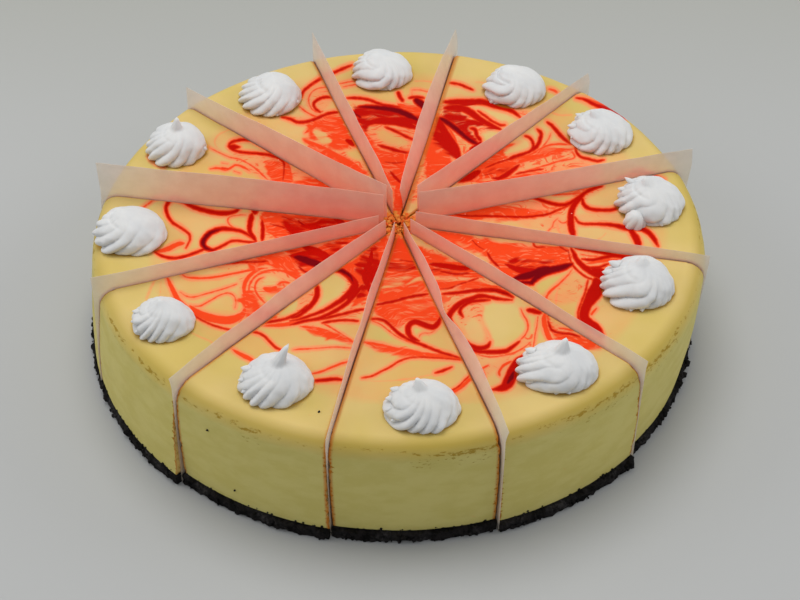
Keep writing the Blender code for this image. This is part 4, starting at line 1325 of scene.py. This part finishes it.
def thread_noise(tree, threads):
    """Drawn-out noise whose streaks bend and curl, like threads pulled through the filling."""
    bend_scale, stretch, scale = threads
    place = object_place(tree)
    bend = node(tree, "ShaderNodeTexNoise", Scale=bend_scale, Detail=2.0, Vector=place).outputs["Color"]
    bend = node(tree, "ShaderNodeVectorMath", {"operation": "SCALE"}, Vector=bend, Scale=THREAD_BEND)
    moved = node(tree, "ShaderNodeVectorMath", {"operation": "ADD"})
    plug(tree, moved.inputs[0], place)
    plug(tree, moved.inputs[1], bend.outputs["Vector"])
    return noise_at(tree, (scale, *THREAD_DETAIL), stretch, moved.outputs["Vector"])


def painted_glint_share(tree):
    """Scattered tiny bright specks, painted highlights."""
    specks = node(tree, "ShaderNodeTexVoronoi", Scale=GLINTS, Vector=object_place(tree))
    chosen = node(tree, "ShaderNodeSeparateColor", Color=specks.outputs["Color"]).outputs["Red"]
    near = remap(tree, specks.outputs["Distance"], GLINT_DOT, (1.0, 0.0))
    return times(tree, near, maths(tree, "GREATER_THAN", chosen, DULL_GLINTS))


def cut_material():
    """The cut faces of the filling: fine pale crumb, orange towards the top."""
    made, tree, shader = new_material("cut_filling")
    grain = noise_at(tree, (500.0, 4.0, 0.6))
    high = plus(tree, object_share(tree, "Z"), times(tree, grain, 0.004))
    colour = mix(tree, remap(tree, high, (HEIGHT - 0.010, HEIGHT)), CUT_FACE, CUT_EDGE)
    colour = mix(tree, remap(tree, grain, (0.48, 0.62), (0.0, 0.8)), colour, NICK)
    set_surface(tree, shader, colour, 0.6, 0.1, grain, 0.6, 0.0006)
    return made


# The other materials

CRUMB_BLACK = (0.0020, 0.0018, 0.0016)
CRUMB_DARK = (0.012, 0.010, 0.010)
CRUMB_DUST = (0.060, 0.055, 0.056)
CRUMB_PALE = (0.110, 0.095, 0.085)
PAPER_CLEAN = ((0.800, 0.730, 0.640), (0.860, 0.790, 0.700))
# Sheets where they take the swirl's red: partly stain, partly painted red glow
PAPER_TINTED = ((0.930, 0.530, 0.415), (0.950, 0.600, 0.475))
CREAM_WHITES = ((0.625, 0.631, 0.636), (0.669, 0.669, 0.664))
FLOOR_PALES = ((0.425, 0.432, 0.432), (0.445, 0.452, 0.452))
# Painted shade of the floor far behind
FLOOR_FAR_SHADE = (0.335, 0.338, 0.300)


def crust_material():
    """Pressed dark crumb, nearly black, with paler grains and a dusting."""
    made, tree, shader = new_material("crust")
    grain = noise_at(tree, (900.0, 4.0, 0.7))
    clumps = noise_at(tree, (260.0, 3.0, 0.6))
    dust = noise_at(tree, (90.0, 3.0, 0.6))
    colour = mix(tree, remap(tree, clumps, (0.40, 0.62)), CRUMB_BLACK, CRUMB_DARK)
    dusted = times(tree, remap(tree, dust, (0.46, 0.66)), remap(tree, grain, (0.40, 0.62)))
    colour = mix(tree, times(tree, dusted, 0.75), colour, CRUMB_DUST)
    colour = mix(tree, remap(tree, grain, (0.66, 0.76)), colour, CRUMB_PALE)
    height = plus(tree, times(tree, grain, 0.5), clumps)
    roughness = remap(tree, grain, (0.3, 0.7), (0.7, 0.95))
    set_surface(tree, shader, colour, roughness, 0.15, height, 1.0, 0.0012)
    return made


def paper_material():
    """Thin baking paper that lets some light and what is behind it through."""
    made, tree, shader = new_material("paper")
    cloud = noise_at(tree, (160.0, 4.0, 0.6))
    stain_and_glow = attribute(tree, "stain_and_glow")
    cloudy = remap(tree, cloud, (0.3, 0.7))
    # Redder where the sheet takes stain and painted red glow from the filling
    colour = mix(tree, stain_and_glow, mix(tree, cloudy, *PAPER_CLEAN), mix(tree, cloudy, *PAPER_TINTED))
    set_surface(tree, shader, colour, 0.5, 0.25, cloud, 0.25, 0.0005)
    glow = node(tree, "ShaderNodeBsdfTranslucent", Color=colour)
    clear = node(tree, "ShaderNodeBsdfTransparent")
    sheet = node(tree, "ShaderNodeMixShader", Fac=0.50)
    plug(tree, sheet.inputs[1], shader.outputs["BSDF"])
    plug(tree, sheet.inputs[2], glow.outputs["BSDF"])
    seen = node(tree, "ShaderNodeMixShader", Fac=remap(tree, stain_and_glow, (0.0, 0.8), (0.48, 0.22)))
    plug(tree, seen.inputs[1], sheet.outputs["Shader"])
    plug(tree, seen.inputs[2], clear.outputs["BSDF"])
    plug(tree, tree.nodes["Material Output"].inputs["Surface"], seen.outputs["Shader"])
    return made


def cream_material():
    """Whipped cream: white, soft and slightly see-through."""
    made, tree, shader = new_material("cream")
    grain = noise_at(tree, (700.0, 3.0, 0.5))
    soft = remap(tree, noise_at(tree, (120.0, 2.0, 0.5)), (0.3, 0.7))
    set_surface(tree, shader, mix(tree, soft, *CREAM_WHITES), 0.5, 0.3, grain, 0.18, 0.0003)
    set_glow(shader, 0.25, (0.0022, 0.0020, 0.0018))
    return made


# The filling

def filling_rows(foot_radius):
    """Radius, height and spacing of each row of points, from the tip's foot out and down."""
    foot = CRUST_THICKNESS + LAYER_GAP
    shoulder_foot = HEIGHT - SHOULDER_RADIUS
    rows = [(TORN_TIP_RADIUS, z, PLAIN_STEP) for z in np.linspace(foot, HEIGHT - EDGE_DROP, TIP_ROWS)]
    radius = TORN_TIP_RADIUS + SWIRL_STEP / 2
    while radius < FLAT_RADIUS:
        step = SWIRL_STEP if radius < SWIRL_RADIUS else PLAIN_STEP
        rows.append((radius, HEIGHT, step))
        radius += step
    for index in range(SHOULDER_ROWS + 1):
        turn = math.pi / 2 * index / SHOULDER_ROWS
        rows.append((
            FLAT_RADIUS + SHOULDER_RADIUS * math.sin(turn),
            shoulder_foot + SHOULDER_RADIUS * math.cos(turn),
            PLAIN_STEP,
        ))
    z = shoulder_foot
    while z > foot + PLAIN_STEP:
        z = max(z - PLAIN_STEP, foot)
        share = (z - foot) / (shoulder_foot - foot)
        belly = WALL_BELLY * math.sin(math.pi * share)
        rows.append((between(foot_radius, TOP_RADIUS, share) + belly, z, PLAIN_STEP))
    if z > foot:
        rows.append((foot_radius, foot, PLAIN_STEP))
    return rows


def filling_point(radius, angle, z):
    """Place one point, with the relief of the top and the wall."""
    x, y = radius * math.cos(angle), radius * math.sin(angle)
    if radius < FLAT_RADIUS + NEAR_ZERO and z > HEIGHT - NEAR_ZERO:
        return x, y, z + TOP_UNEVEN * relief((x, y, 0), TOP_WAVES)
    if radius > FLAT_RADIUS:
        scale = (radius + WALL_UNEVEN * relief((x, y, z), WALL_WAVES)) / radius
        return x * scale, y * scale, z
    return x, y, z


def nick_point(x, y, z, radius, reach, side):
    """Push a point near a cut in the wall away from the cut, side being 1 or -1."""
    nick = max(0.0, relief((x, y, z), NICK_WAVES) + NICK_MORE) * (1 - reach / NICK_WIDTH)
    turn = NICK_DEPTH * nick / radius * side
    return x * math.cos(turn) - y * math.sin(turn), x * math.sin(turn) + y * math.cos(turn)


def make_filling(index, start, end, material, cut_material):
    """Build one slice of the filling, with its swirl as fields on the points."""
    points, rows = [], []
    marks = {"rim": [], "torn": [], "edge": [], "lip": []}
    for radius, z, step in filling_rows(SLICES[index][0]):
        span = radius * (end - start) - half_cut(radius) - half_cut(radius)
        count = max(LEAST_COLUMNS, round(span / step))
        row = []
        for column in range(count + 1):
            share = column / count
            angle = slice_angle(radius, start, end, share)
            reach = min(share, 1 - share) * span
            x, y, height = filling_point(radius, angle, z)
            if reach < EDGE_ROUND and z > HEIGHT - SHOULDER_RADIUS:
                height -= EDGE_DROP * (1 - math.sqrt(1 - (1 - reach / EDGE_ROUND) ** 2))
            if reach < NICK_WIDTH and radius > FLAT_RADIUS:
                side = 1 if angle < (start + end) / 2 else -1
                x, y = nick_point(x, y, z, radius, reach, side)
            row.append(len(points))
            points.append((x + CAKE_AXIS[0], y + CAKE_AXIS[1], height))
            marks["rim"].append(rim_shade_share(radius, z, angle))
            marks["torn"].append(torn_share(radius))
            marks["edge"].append(max(0.0, 1 - reach / NICK_REACH))
            marks["lip"].append(max(0.0, 1 - reach / gap_shade_reach(index, share)))
        rows.append(row)
    faces = [face[::-1] for face in close_slice(rows)]
    cut_faces = len(faces) - 2, len(faces) - 1
    plain = len(points)
    add_lumps(points, faces, start, end, TORN_LUMPS, TORN_SIZES, TORN_RADII, TORN_HEIGHTS)
    for name, values in marks.items():
        values += [1.0 if name == "torn" else 0.0] * (len(points) - plain)
    made = make_mesh(f"cake_{index + 1:02d}", points, faces, material, SHARP_FILLING)
    made.data.materials.append(cut_material)
    for face in cut_faces:
        made.data.polygons[face].material_index = 1
    heights = np.array(points)[:, 2]
    for name, field in zip(FIELD_NAMES, swirl_fields(points)):
        quiet = 0.0 if name.endswith("patch") else -FIELD_LIMIT
        put_field(made, name, np.where(heights > HEIGHT - SWIRL_FALL, field, quiet))
    put_field(made, "wall", np.clip((HEIGHT - WALL_FALL - heights) / WALL_FADE, 0, 1))
    # rim: strength of the painted shade under the rim
    put_field(made, "rim", marks["rim"])
    put_field(made, "torn", marks["torn"])
    put_field(made, "edge", np.where(heights < HEIGHT - EDGE_FALL, marks["edge"], 0))
    put_field(made, "lip", GAP_SHADE_STRENGTH * np.array(marks["lip"]) ** GAP_SHADE_POWER)
    put_field(made, "contact", np.where(heights > HEIGHT - CONTACT_FALL, contact_shade_share(points, index), 0))
    return made


def gap_shade_reach(index, share):
    """Width of the band of painted gap shade on the side of a slice on which a share across it lies."""
    last = share > 0.5
    cut = (index + 1) % len(CUTS) + 1 if last else index + 1
    for number, before, width in WIDE_GAP_SHADES:
        if number == cut and before == last:
            return width
    return GAP_SHADE_REACH


def contact_shade_share(points, index):
    """Painted shade round the foot of the slice's rosette: how close each point is to that foot."""
    distance, degrees, half_width, half_depth = CREAMS[index][:4]
    x, y = np.array(points)[:, :2].T
    gap_x = (x - CAKE_AXIS[0] - distance * math.cos(math.radians(degrees))) / half_width
    gap_y = (y - CAKE_AXIS[1] - distance * math.sin(math.radians(degrees))) / half_depth
    out = (np.hypot(gap_x, gap_y) - 1) * half_width
    return np.clip(1 - out / CONTACT_REACH, 0, 1) ** CONTACT_POWER


def rim_shade_share(radius, z, angle):
    """How strong the painted shade under the rim is: most just under the rim, and on the front side, towards
    minus Y.
    """
    if radius < FLAT_RADIUS:
        return 0.0
    fall = HEIGHT - z
    # baked is the strength of the painted shade, most on the front side
    baked = SHADE_MEAN + SHADE_SWAY * math.cos(angle - SHADED_SIDE)
    if fall < RIM_BAND:
        return baked * (fall / RIM_BAND) ** RIM_POWER
    return baked * max(0.0, 1 - (fall - RIM_BAND) / RIM_FADE)


def torn_share(radius):
    """How orange and torn a point is: only at the inner tip."""
    return min(1.0, max(0.0, (TORN_REACH - radius) / (TORN_REACH - SLICE_TIP_RADIUS)))


# The crust

def crust_outline(foot_radius, edge):
    """Radius and height of each row of points, from the tip out along the foot and back."""
    rows = [(radius, 0.0) for radius in CRUST_RADII]
    rows.append((edge - CRUST_LOWER_BEVEL, CRUST_FOOT_RISE))
    upright = np.linspace(CRUST_ROUNDING, CRUST_THICKNESS - CRUST_ROUNDING, CRUST_EDGE_ROWS)
    rows += [(edge, z) for z in upright]
    rows.append((edge - CRUST_UPPER_BEVEL, CRUST_THICKNESS))
    rows.append((foot_radius - CRUST_TUCK, CRUST_THICKNESS))
    return rows + [(radius, CRUST_THICKNESS) for radius in reversed(CRUST_RADII)]


def crust_point(radius, angle, z, foot_radius):
    """Place one point of the crust, which is crumbly near its edge."""
    x, y = radius * math.cos(angle), radius * math.sin(angle)
    if radius <= foot_radius - CRUST_SMOOTH:
        return x, y, z
    grow = 1 + CRUST_CRUMB * (relief((x, y, z), CRUST_WAVES) + CRUST_OUT) / radius
    x, y = x * grow, y * grow
    if z <= 0:
        return x, y, z
    height = z + CRUST_ROUGH * relief((x, y, z), ROUGH_WAVES)
    if radius > foot_radius + CRUST_COVER:
        height += CRUST_ROUGH * (z / CRUST_THICKNESS) ** 3 * relief((x, y, 0), RAGGED_WAVES)
    height = max(height, LEAST_HEIGHT)
    if radius < foot_radius + CRUST_COVER:
        height = min(height, CRUST_THICKNESS + CRUST_COVER)
    return x, y, height


def make_crust(index, start, end, material):
    """Build one slice of the crust, with a crumbly edge and loose crumbs stuck to it."""
    foot_radius, stand_out = SLICES[index]
    edge = foot_radius + stand_out
    columns = round(edge * (end - start) / CRUST_STEP)
    points, rows = [], []
    for radius, z in crust_outline(foot_radius, edge):
        row = []
        for column in range(columns + 1):
            angle = slice_angle(radius, start, end, column / columns)
            x, y, height = crust_point(radius, angle, z, foot_radius)
            row.append(len(points))
            points.append((x + CAKE_AXIS[0], y + CAKE_AXIS[1], height))
        rows.append(row)
    faces = close_slice(rows)
    for count, sizes, base, places, heights in (
        (CRUMBS_A_SLICE, CRUMB_SIZES, edge, CRUMB_PLACES, CRUMB_HEIGHTS),
        (CHUNKS[index], CHUNK_SIZES, edge, CHUNK_PLACES, CHUNK_HEIGHTS),
        (UPPER_CRUMBS, UPPER_SIZES, foot_radius, UPPER_PLACES, UPPER_HEIGHTS),
    ):
        radii = base + places[0], base + places[1]
        add_lumps(points, faces, start, end, count, sizes, radii, heights)
    singles = list(SPECKS)
    singles += [(degrees, edge + stands_out, z, size) for degrees, stands_out, z, size in BLOCKS]
    for degrees, radius, z, size in singles:
        angle = math.radians(degrees)
        if start < angle < end:
            add_lumps(points, faces, angle, angle, 1, (size, size), (radius, radius), (z, z))
    return make_mesh(f"crumb_crust_{index + 1:02d}", points, faces, material, SHARP_CRUST)


def add_lumps(points, faces, start, end, count, sizes, radii, heights):
    """Add small uneven lumps within a slice; the bounds of each measure are given."""
    for _ in range(count):
        size = random.uniform(*sizes)
        radius = random.uniform(*radii)
        angle = between(start, end, random.uniform(*LUMP_SHARES))
        z = max(size * LUMP_REST, random.uniform(*heights))
        ball = bmesh.new()
        bmesh.ops.create_icosphere(ball, subdivisions=1, radius=size)
        first = len(points)
        for vertex in ball.verts:
            grow = random.uniform(*LUMP_GROWTH)
            points.append((
                radius * math.cos(angle) + vertex.co.x * grow + CAKE_AXIS[0],
                radius * math.sin(angle) + vertex.co.y * grow + CAKE_AXIS[1],
                max(LUMP_FLOOR, z + vertex.co.z * grow),
            ))
        for face in ball.faces:
            faces.append(tuple(first + v.index for v in face.verts))
        ball.free()


# The paper

def sheet_lean(index, share):
    """How far the upper edge of a sheet leans a share of the way from the middle to the rim."""
    rim_lean, mid_lean, tip_lean = CUTS[index][3:6]
    lean = (
        tip_lean * (1 - share) * (1 - 2 * share)
        + mid_lean * 4 * share * (1 - share)
        + rim_lean * share * (2 * share - 1)
    )
    for number, middle, spread, added in TWISTS:
        if number == index + 1:
            lean += added * math.exp(-((share - middle) / spread) ** 2)
    return lean


def sheet_faces(columns, high):
    """Faces of a sheet of two sides, whose points stand in columns of a given number."""
    faces = []
    count = (columns + 1) * high
    for column in range(columns):
        for row in range(high - 1):
            a = column * high + row
            b = a + high
            faces.append((a, b, b + 1, a + 1))
            faces.append((count + a, count + a + 1, count + b + 1, count + b))
    border = [column * high for column in range(columns)]
    border += [columns * high + row for row in range(high - 1)]
    border += [column * high + high - 1 for column in range(columns, 0, -1)]
    border += list(range(high - 1, 0, -1))
    for a, b in zip(border, border[1:] + border[:1]):
        faces.append((b, a, count + a, count + b))
    return faces


def make_paper(index, material):
    """Build the thin wavy sheet that stands in one cut and leans above the top."""
    degrees, rim_rise, tip_rise = CUTS[index][:3]
    inner_radius, rim_radius = CUTS[index][6:]
    angle = math.radians(degrees)
    along = Vector((math.cos(angle), math.sin(angle), 0))
    across = Vector((-along.y, along.x, 0))
    phase = random.uniform(0.0, 2 * math.pi)
    foot_rim = max(SLICES[index][0], SLICES[index - 1][0]) + FOOT_OVERHANGS[index]
    rows = [(share, 0.0) for share in np.linspace(0, 1, PAPER_ROWS_IN_CUT)]
    rows += [(1.0, share) for share in np.linspace(0, 1, PAPER_ROWS_ABOVE + 1)[1:]]
    middles, stain_and_glow_shares = [], []
    for column in range(PAPER_COLUMNS + 1):
        share = column / PAPER_COLUMNS
        lean = sheet_lean(index, share)
        rise = between(tip_rise, rim_rise, share)
        for height_share, rise_share in rows:
            radius = between(inner_radius, between(foot_rim, rim_radius, height_share), share)
            z = HEIGHT * height_share + rise * rise_share
            place = (radius, z, index * CRINKLE_SHIFT)
            crinkle = PAPER_CRINKLE * rise_share * wander(place, UPPER_CRINKLE)
            outside = max(0.0, (radius - TOP_RADIUS - OUTSIDE_START) / OUTSIDE_SPAN)
            crinkle += PAPER_CRINKLE * outside * wander(place, OUTER_CRINKLE, 2.0)
            wave = PAPER_WAVE * math.sin(phase + WAVE_ALONG * share + WAVE_UP * height_share)
            offset = wave + crinkle + lean * max(0.0, rise_share - LEAN_START) ** LEAN_BEND
            middles.append(along * radius + across * offset + Vector((*CAKE_AXIS, z)))
            # How much stain and painted red glow the sheet takes here
            inner = min(1.0, max(0.0, (STAIN_AND_GLOW_RADIUS - radius) / STAIN_AND_GLOW_SPAN)) ** STAIN_AND_GLOW_POWER
            stain_and_glow_shares.append(inner * (1 - STAIN_AND_GLOW_LOSS * rise_share))
    points = [p + across * side * PAPER_HALF_THICKNESS for side in (-1, 1) for p in middles]
    faces = sheet_faces(PAPER_COLUMNS, len(rows))
    made = make_mesh(f"sheet_{index + 1:02d}", points, faces, material, SHARP_PAPER)
    put_field(made, "stain_and_glow", stain_and_glow_shares * 2)
    return made


# The cream

def cream_profile(height, tip):
    """Radius share, height share and ridge depth of each row of a rosette, and its share of
    the way from foot to tip."""
    top = height * CREAM_RINGS[-1][1]
    rings = [(radius, height * share, depth) for radius, share, depth in CREAM_RINGS]
    rings += [(radius, top + share * tip, depth) for radius, share, depth in TIP_RINGS]
    line = smooth_line([(r, z / height, d) for r, z, d in rings], 8)
    run = np.concatenate([[0], np.cumsum(np.hypot(*np.diff(line[:, :2], axis=0).T))])
    even = np.linspace(0, run[-1], CREAM_ROWS)
    return [(*(np.interp(s, run, line[:, k]) for k in range(3)), s / run[-1]) for s in even]


def fold_depth(index, angle, radius_share):
    """Depth of the groove that the last turn of the piping left on the top."""
    run = (angle - FOLD_START) % (2 * math.pi) / FOLD_SPAN
    ends = max(0.0, 1 - (2 * run - 1) ** 2)
    out = (radius_share - FOLD_INNER - FOLD_GROWTH * run) / FOLD_WIDTH
    return FOLD_DEPTHS[index] * ends * math.exp(-out ** 2)


def make_cream(index, material):
    """Build one piped rosette: soft ridges that wind up its side to a smooth top and a peak."""
    distance, degrees, half_width, half_depth, height, tip, twist, lean_x, lean_y = CREAMS[index]
    direction = math.radians(degrees)
    centre = Vector((
        distance * math.cos(direction) + CAKE_AXIS[0],
        distance * math.sin(direction) + CAKE_AXIS[1],
        HEIGHT - CREAM_SINK,
    ))
    start = random.uniform(0.0, 2 * math.pi)
    ridges = RIDGE_COUNTS[index]
    sizes = [1 + random.uniform(-RIDGE_SPREAD, RIDGE_SPREAD) for _ in range(ridges)]
    seed = random.uniform(0, SEED_RANGE)
    tip_height = height * CREAM_RINGS[-1][1] + tip
    points = []
    for radius_share, height_share, depth, climb in cream_profile(height, tip):
        turned = start + math.radians(twist) * RIDGE_TURN * climb
        z = height * height_share
        lean_share = min(1.0, z / tip_height) ** TIP_BEND
        slope = min(1.0, max(0.0, (height_share - SLOPE_START) / (1 - SLOPE_START)))
        for column in range(CREAM_COLUMNS):
            angle = 2 * math.pi * column / CREAM_COLUMNS
            swing = SWING_TWICE * math.sin(angle * 2 + seed) + SWING_THRICE * math.sin(angle * 3 + 2 * seed)
            phase = ((angle - turned) / (2 * math.pi) * ridges + swing * ridges / 3) % ridges
            lobe = abs(math.sin(math.pi * phase)) ** RIDGE_BEND
            strong = max(LEAST_RIDGE, MEAN_RIDGE + RIDGE_SWAY * math.cos(angle - RIDGE_SIDE))
            ridge = depth * strong * sizes[int(phase) % ridges] * (lobe - 0.5)
            place = Vector((
                math.cos(angle) * LUMP_ROUND,
                math.sin(angle) * LUMP_ROUND,
                height_share * LUMP_UP + seed,
            ))
            lump = BROAD_LUMP * noise.noise(place) + FINE_LUMP * noise.noise(place * FINE_LUMP_SCALE)
            share = radius_share * (1 + ridge * (1 - RIDGE_LOSS * slope) + lump)
            crease = CREASE * slope * (1 - slope) * 4 * noise.noise(place * CREASE_SCALE)
            lift = z + height * (ridge * slope * RIDGE_LIFT + crease)
            points.append((
                centre.x + half_width * share * math.cos(angle) + lean_x * lean_share,
                centre.y + half_depth * share * math.sin(angle) + lean_y * lean_share,
                centre.z + lift - fold_depth(index, angle, radius_share),
            ))
    faces = ring_faces(0, CREAM_ROWS, CREAM_COLUMNS)
    last = (CREAM_ROWS - 1) * CREAM_COLUMNS
    points.append((centre.x + lean_x, centre.y + lean_y, centre.z + tip_height))
    for column in range(CREAM_COLUMNS):
        faces.append((last + column, last + (column + 1) % CREAM_COLUMNS, len(points) - 1))
    faces.append(list(range(CREAM_COLUMNS))[::-1])
    for number, *tuft in TUFTS:
        if number == index + 1:
            add_tuft(points, faces, centre, half_width, half_depth, height, *tuft)
    for number, *blob in BLOBS:
        if number == index + 1:
            add_blob(points, faces, centre, *blob)
    return make_mesh(f"rosette_{index + 1:02d}", points, faces, material, SHARP_CREAM)


def add_tuft(points, faces, centre, half_width, half_depth, height, degrees, level, length, width, rise):
    """Add a drawn-out point of cream that grows from inside a rosette's side."""
    angle = math.radians(degrees)
    out = Vector((math.cos(angle), math.sin(angle), 0))
    across = Vector((-out.y, out.x, 0))
    # The rosette's side at the tuft's height, rounded above a fifth of the rosette's height
    body = math.hypot(half_width * out.x, half_depth * out.y)
    body *= math.sqrt(max(0.2, 1 - (max(0.0, level / height - 0.2) / 0.9) ** 2))
    first = len(points)
    for row in range(TUFT_ROWS + 1):
        share = row / TUFT_ROWS
        reach = body - TUFT_ROOT + (TUFT_ROOT + TUFT_LENGTH * length) * share
        size = TUFT_WIDTH * width * (1 - share ** TUFT_TAPER) + TUFT_TIP
        lift = level + rise * share ** 2
        for column in range(TUFT_COLUMNS):
            turn = 2 * math.pi * column / TUFT_COLUMNS
            high = max(CREAM_SINK, lift + TUFT_FLATNESS * size * math.sin(turn))
            points.append(centre + out * reach + across * size * math.cos(turn) + Vector((0, 0, high)))
    faces += ring_faces(first, TUFT_ROWS + 1, TUFT_COLUMNS, outward=False)
    faces.append([first + column for column in range(TUFT_COLUMNS)])
    end = first + TUFT_ROWS * TUFT_COLUMNS
    faces.append([end + column for column in reversed(range(TUFT_COLUMNS))])


def add_blob(points, faces, centre, degrees, distance, half_width, height):
    """Add a small ridged blob of cream beside a rosette."""
    angle = math.radians(degrees)
    middle = centre + Vector((math.cos(angle), math.sin(angle), 0)) * distance
    seed = random.uniform(0, SEED_RANGE)
    first = len(points)
    for row in range(BLOB_ROWS):
        climb = row / BLOB_ROWS
        radius = math.cos(math.pi / 2 * climb ** BLOB_ROUND)
        z = height * math.sin(math.pi / 2 * climb)
        for column in range(BLOB_COLUMNS):
            turn = 2 * math.pi * column / BLOB_COLUMNS
            phase = (turn - BLOB_TURN * climb) / (2 * math.pi) * BLOB_RIDGES + seed
            ridge = BLOB_RIDGE * (1 - climb) * (abs(math.sin(math.pi * phase)) ** RIDGE_BEND - 0.5)
            lump = BLOB_LUMP * noise.noise(Vector((math.cos(turn), math.sin(turn), climb + seed)))
            share = half_width * radius * (1 + ridge + lump)
            points.append(middle + Vector((share * math.cos(turn), share * math.sin(turn), z)))
    points.append(middle + Vector((0, 0, height)))
    faces += ring_faces(first, BLOB_ROWS, BLOB_COLUMNS)
    last = first + (BLOB_ROWS - 1) * BLOB_COLUMNS
    for column in range(BLOB_COLUMNS):
        faces.append((last + column, last + (column + 1) % BLOB_COLUMNS, len(points) - 1))
    faces.append([first + column for column in reversed(range(BLOB_COLUMNS))])


# The studio

def make_floor():
    """A plain pale floor, with painted shade that makes it slightly darker far behind."""
    bpy.ops.mesh.primitive_plane_add(size=FLOOR_SIZE, location=(0, 0, 0))
    floor = bpy.context.object
    floor.name = "floor"
    made, tree, shader = new_material("floor")
    pale = mix(tree, remap(tree, noise_at(tree, (1.5, 1.0, 0.5)), (0.3, 0.7)), *FLOOR_PALES)
    # Painted shade: the floor darkens far behind
    far = remap(tree, object_share(tree, "Y"), (0.04, 0.40))
    plug(tree, shader.inputs["Base Color"], mix(tree, far, pale, FLOOR_FAR_SHADE))
    shader.inputs["Roughness"].default_value = 0.9
    shader.inputs["Specular IOR Level"].default_value = 0.1
    floor.data.materials.append(made)


def area_light(name, place, size, power, colour):
    data = bpy.data.lights.new(name, "AREA")
    data.shape = "DISK"
    data.size = size
    data.energy = power
    data.color = colour
    light = bpy.data.objects.new(name, data)
    bpy.context.scene.collection.objects.link(light)
    light.location = place
    light.rotation_mode = "QUATERNION"
    light.rotation_quaternion = (Vector(LIGHTS_AIM) - Vector(place)).to_track_quat("-Z", "Y")


def make_lights():
    world = bpy.data.worlds.new("studio")
    bpy.context.scene.world = world
    world.use_nodes = True
    background = world.node_tree.nodes["Background"]
    background.inputs["Color"].default_value = SKY
    background.inputs["Strength"].default_value = SKY_STRENGTH
    for light in LIGHTS:
        area_light(*light)


def main():
    for leftover in list(bpy.data.objects):
        bpy.data.objects.remove(leftover)
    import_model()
    random.seed(RANDOM_SEED)
    bpy.context.scene.view_settings.view_transform = "Standard"
    make_camera()
    make_lights()
    make_floor()
    filling, cut, crust = filling_material(), cut_material(), crust_material()
    paper, cream = paper_material(), cream_material()
    for index in range(len(CUTS)):
        number = f"{index + 1:02d}"
        start = math.radians(CUTS[index][0])
        end = math.radians(CUTS[(index + 1) % len(CUTS)][0])
        if end < start:
            end += 2 * math.pi
        dress(make_filling(index, start, end, filling, cut), f"filling_{number}")
        dress(make_crust(index, start, end, crust), f"crust_{number}")
        dress(make_paper(index, paper), f"paper_{number}")
        dress(make_cream(index, cream), f"cream_{number}")


main()
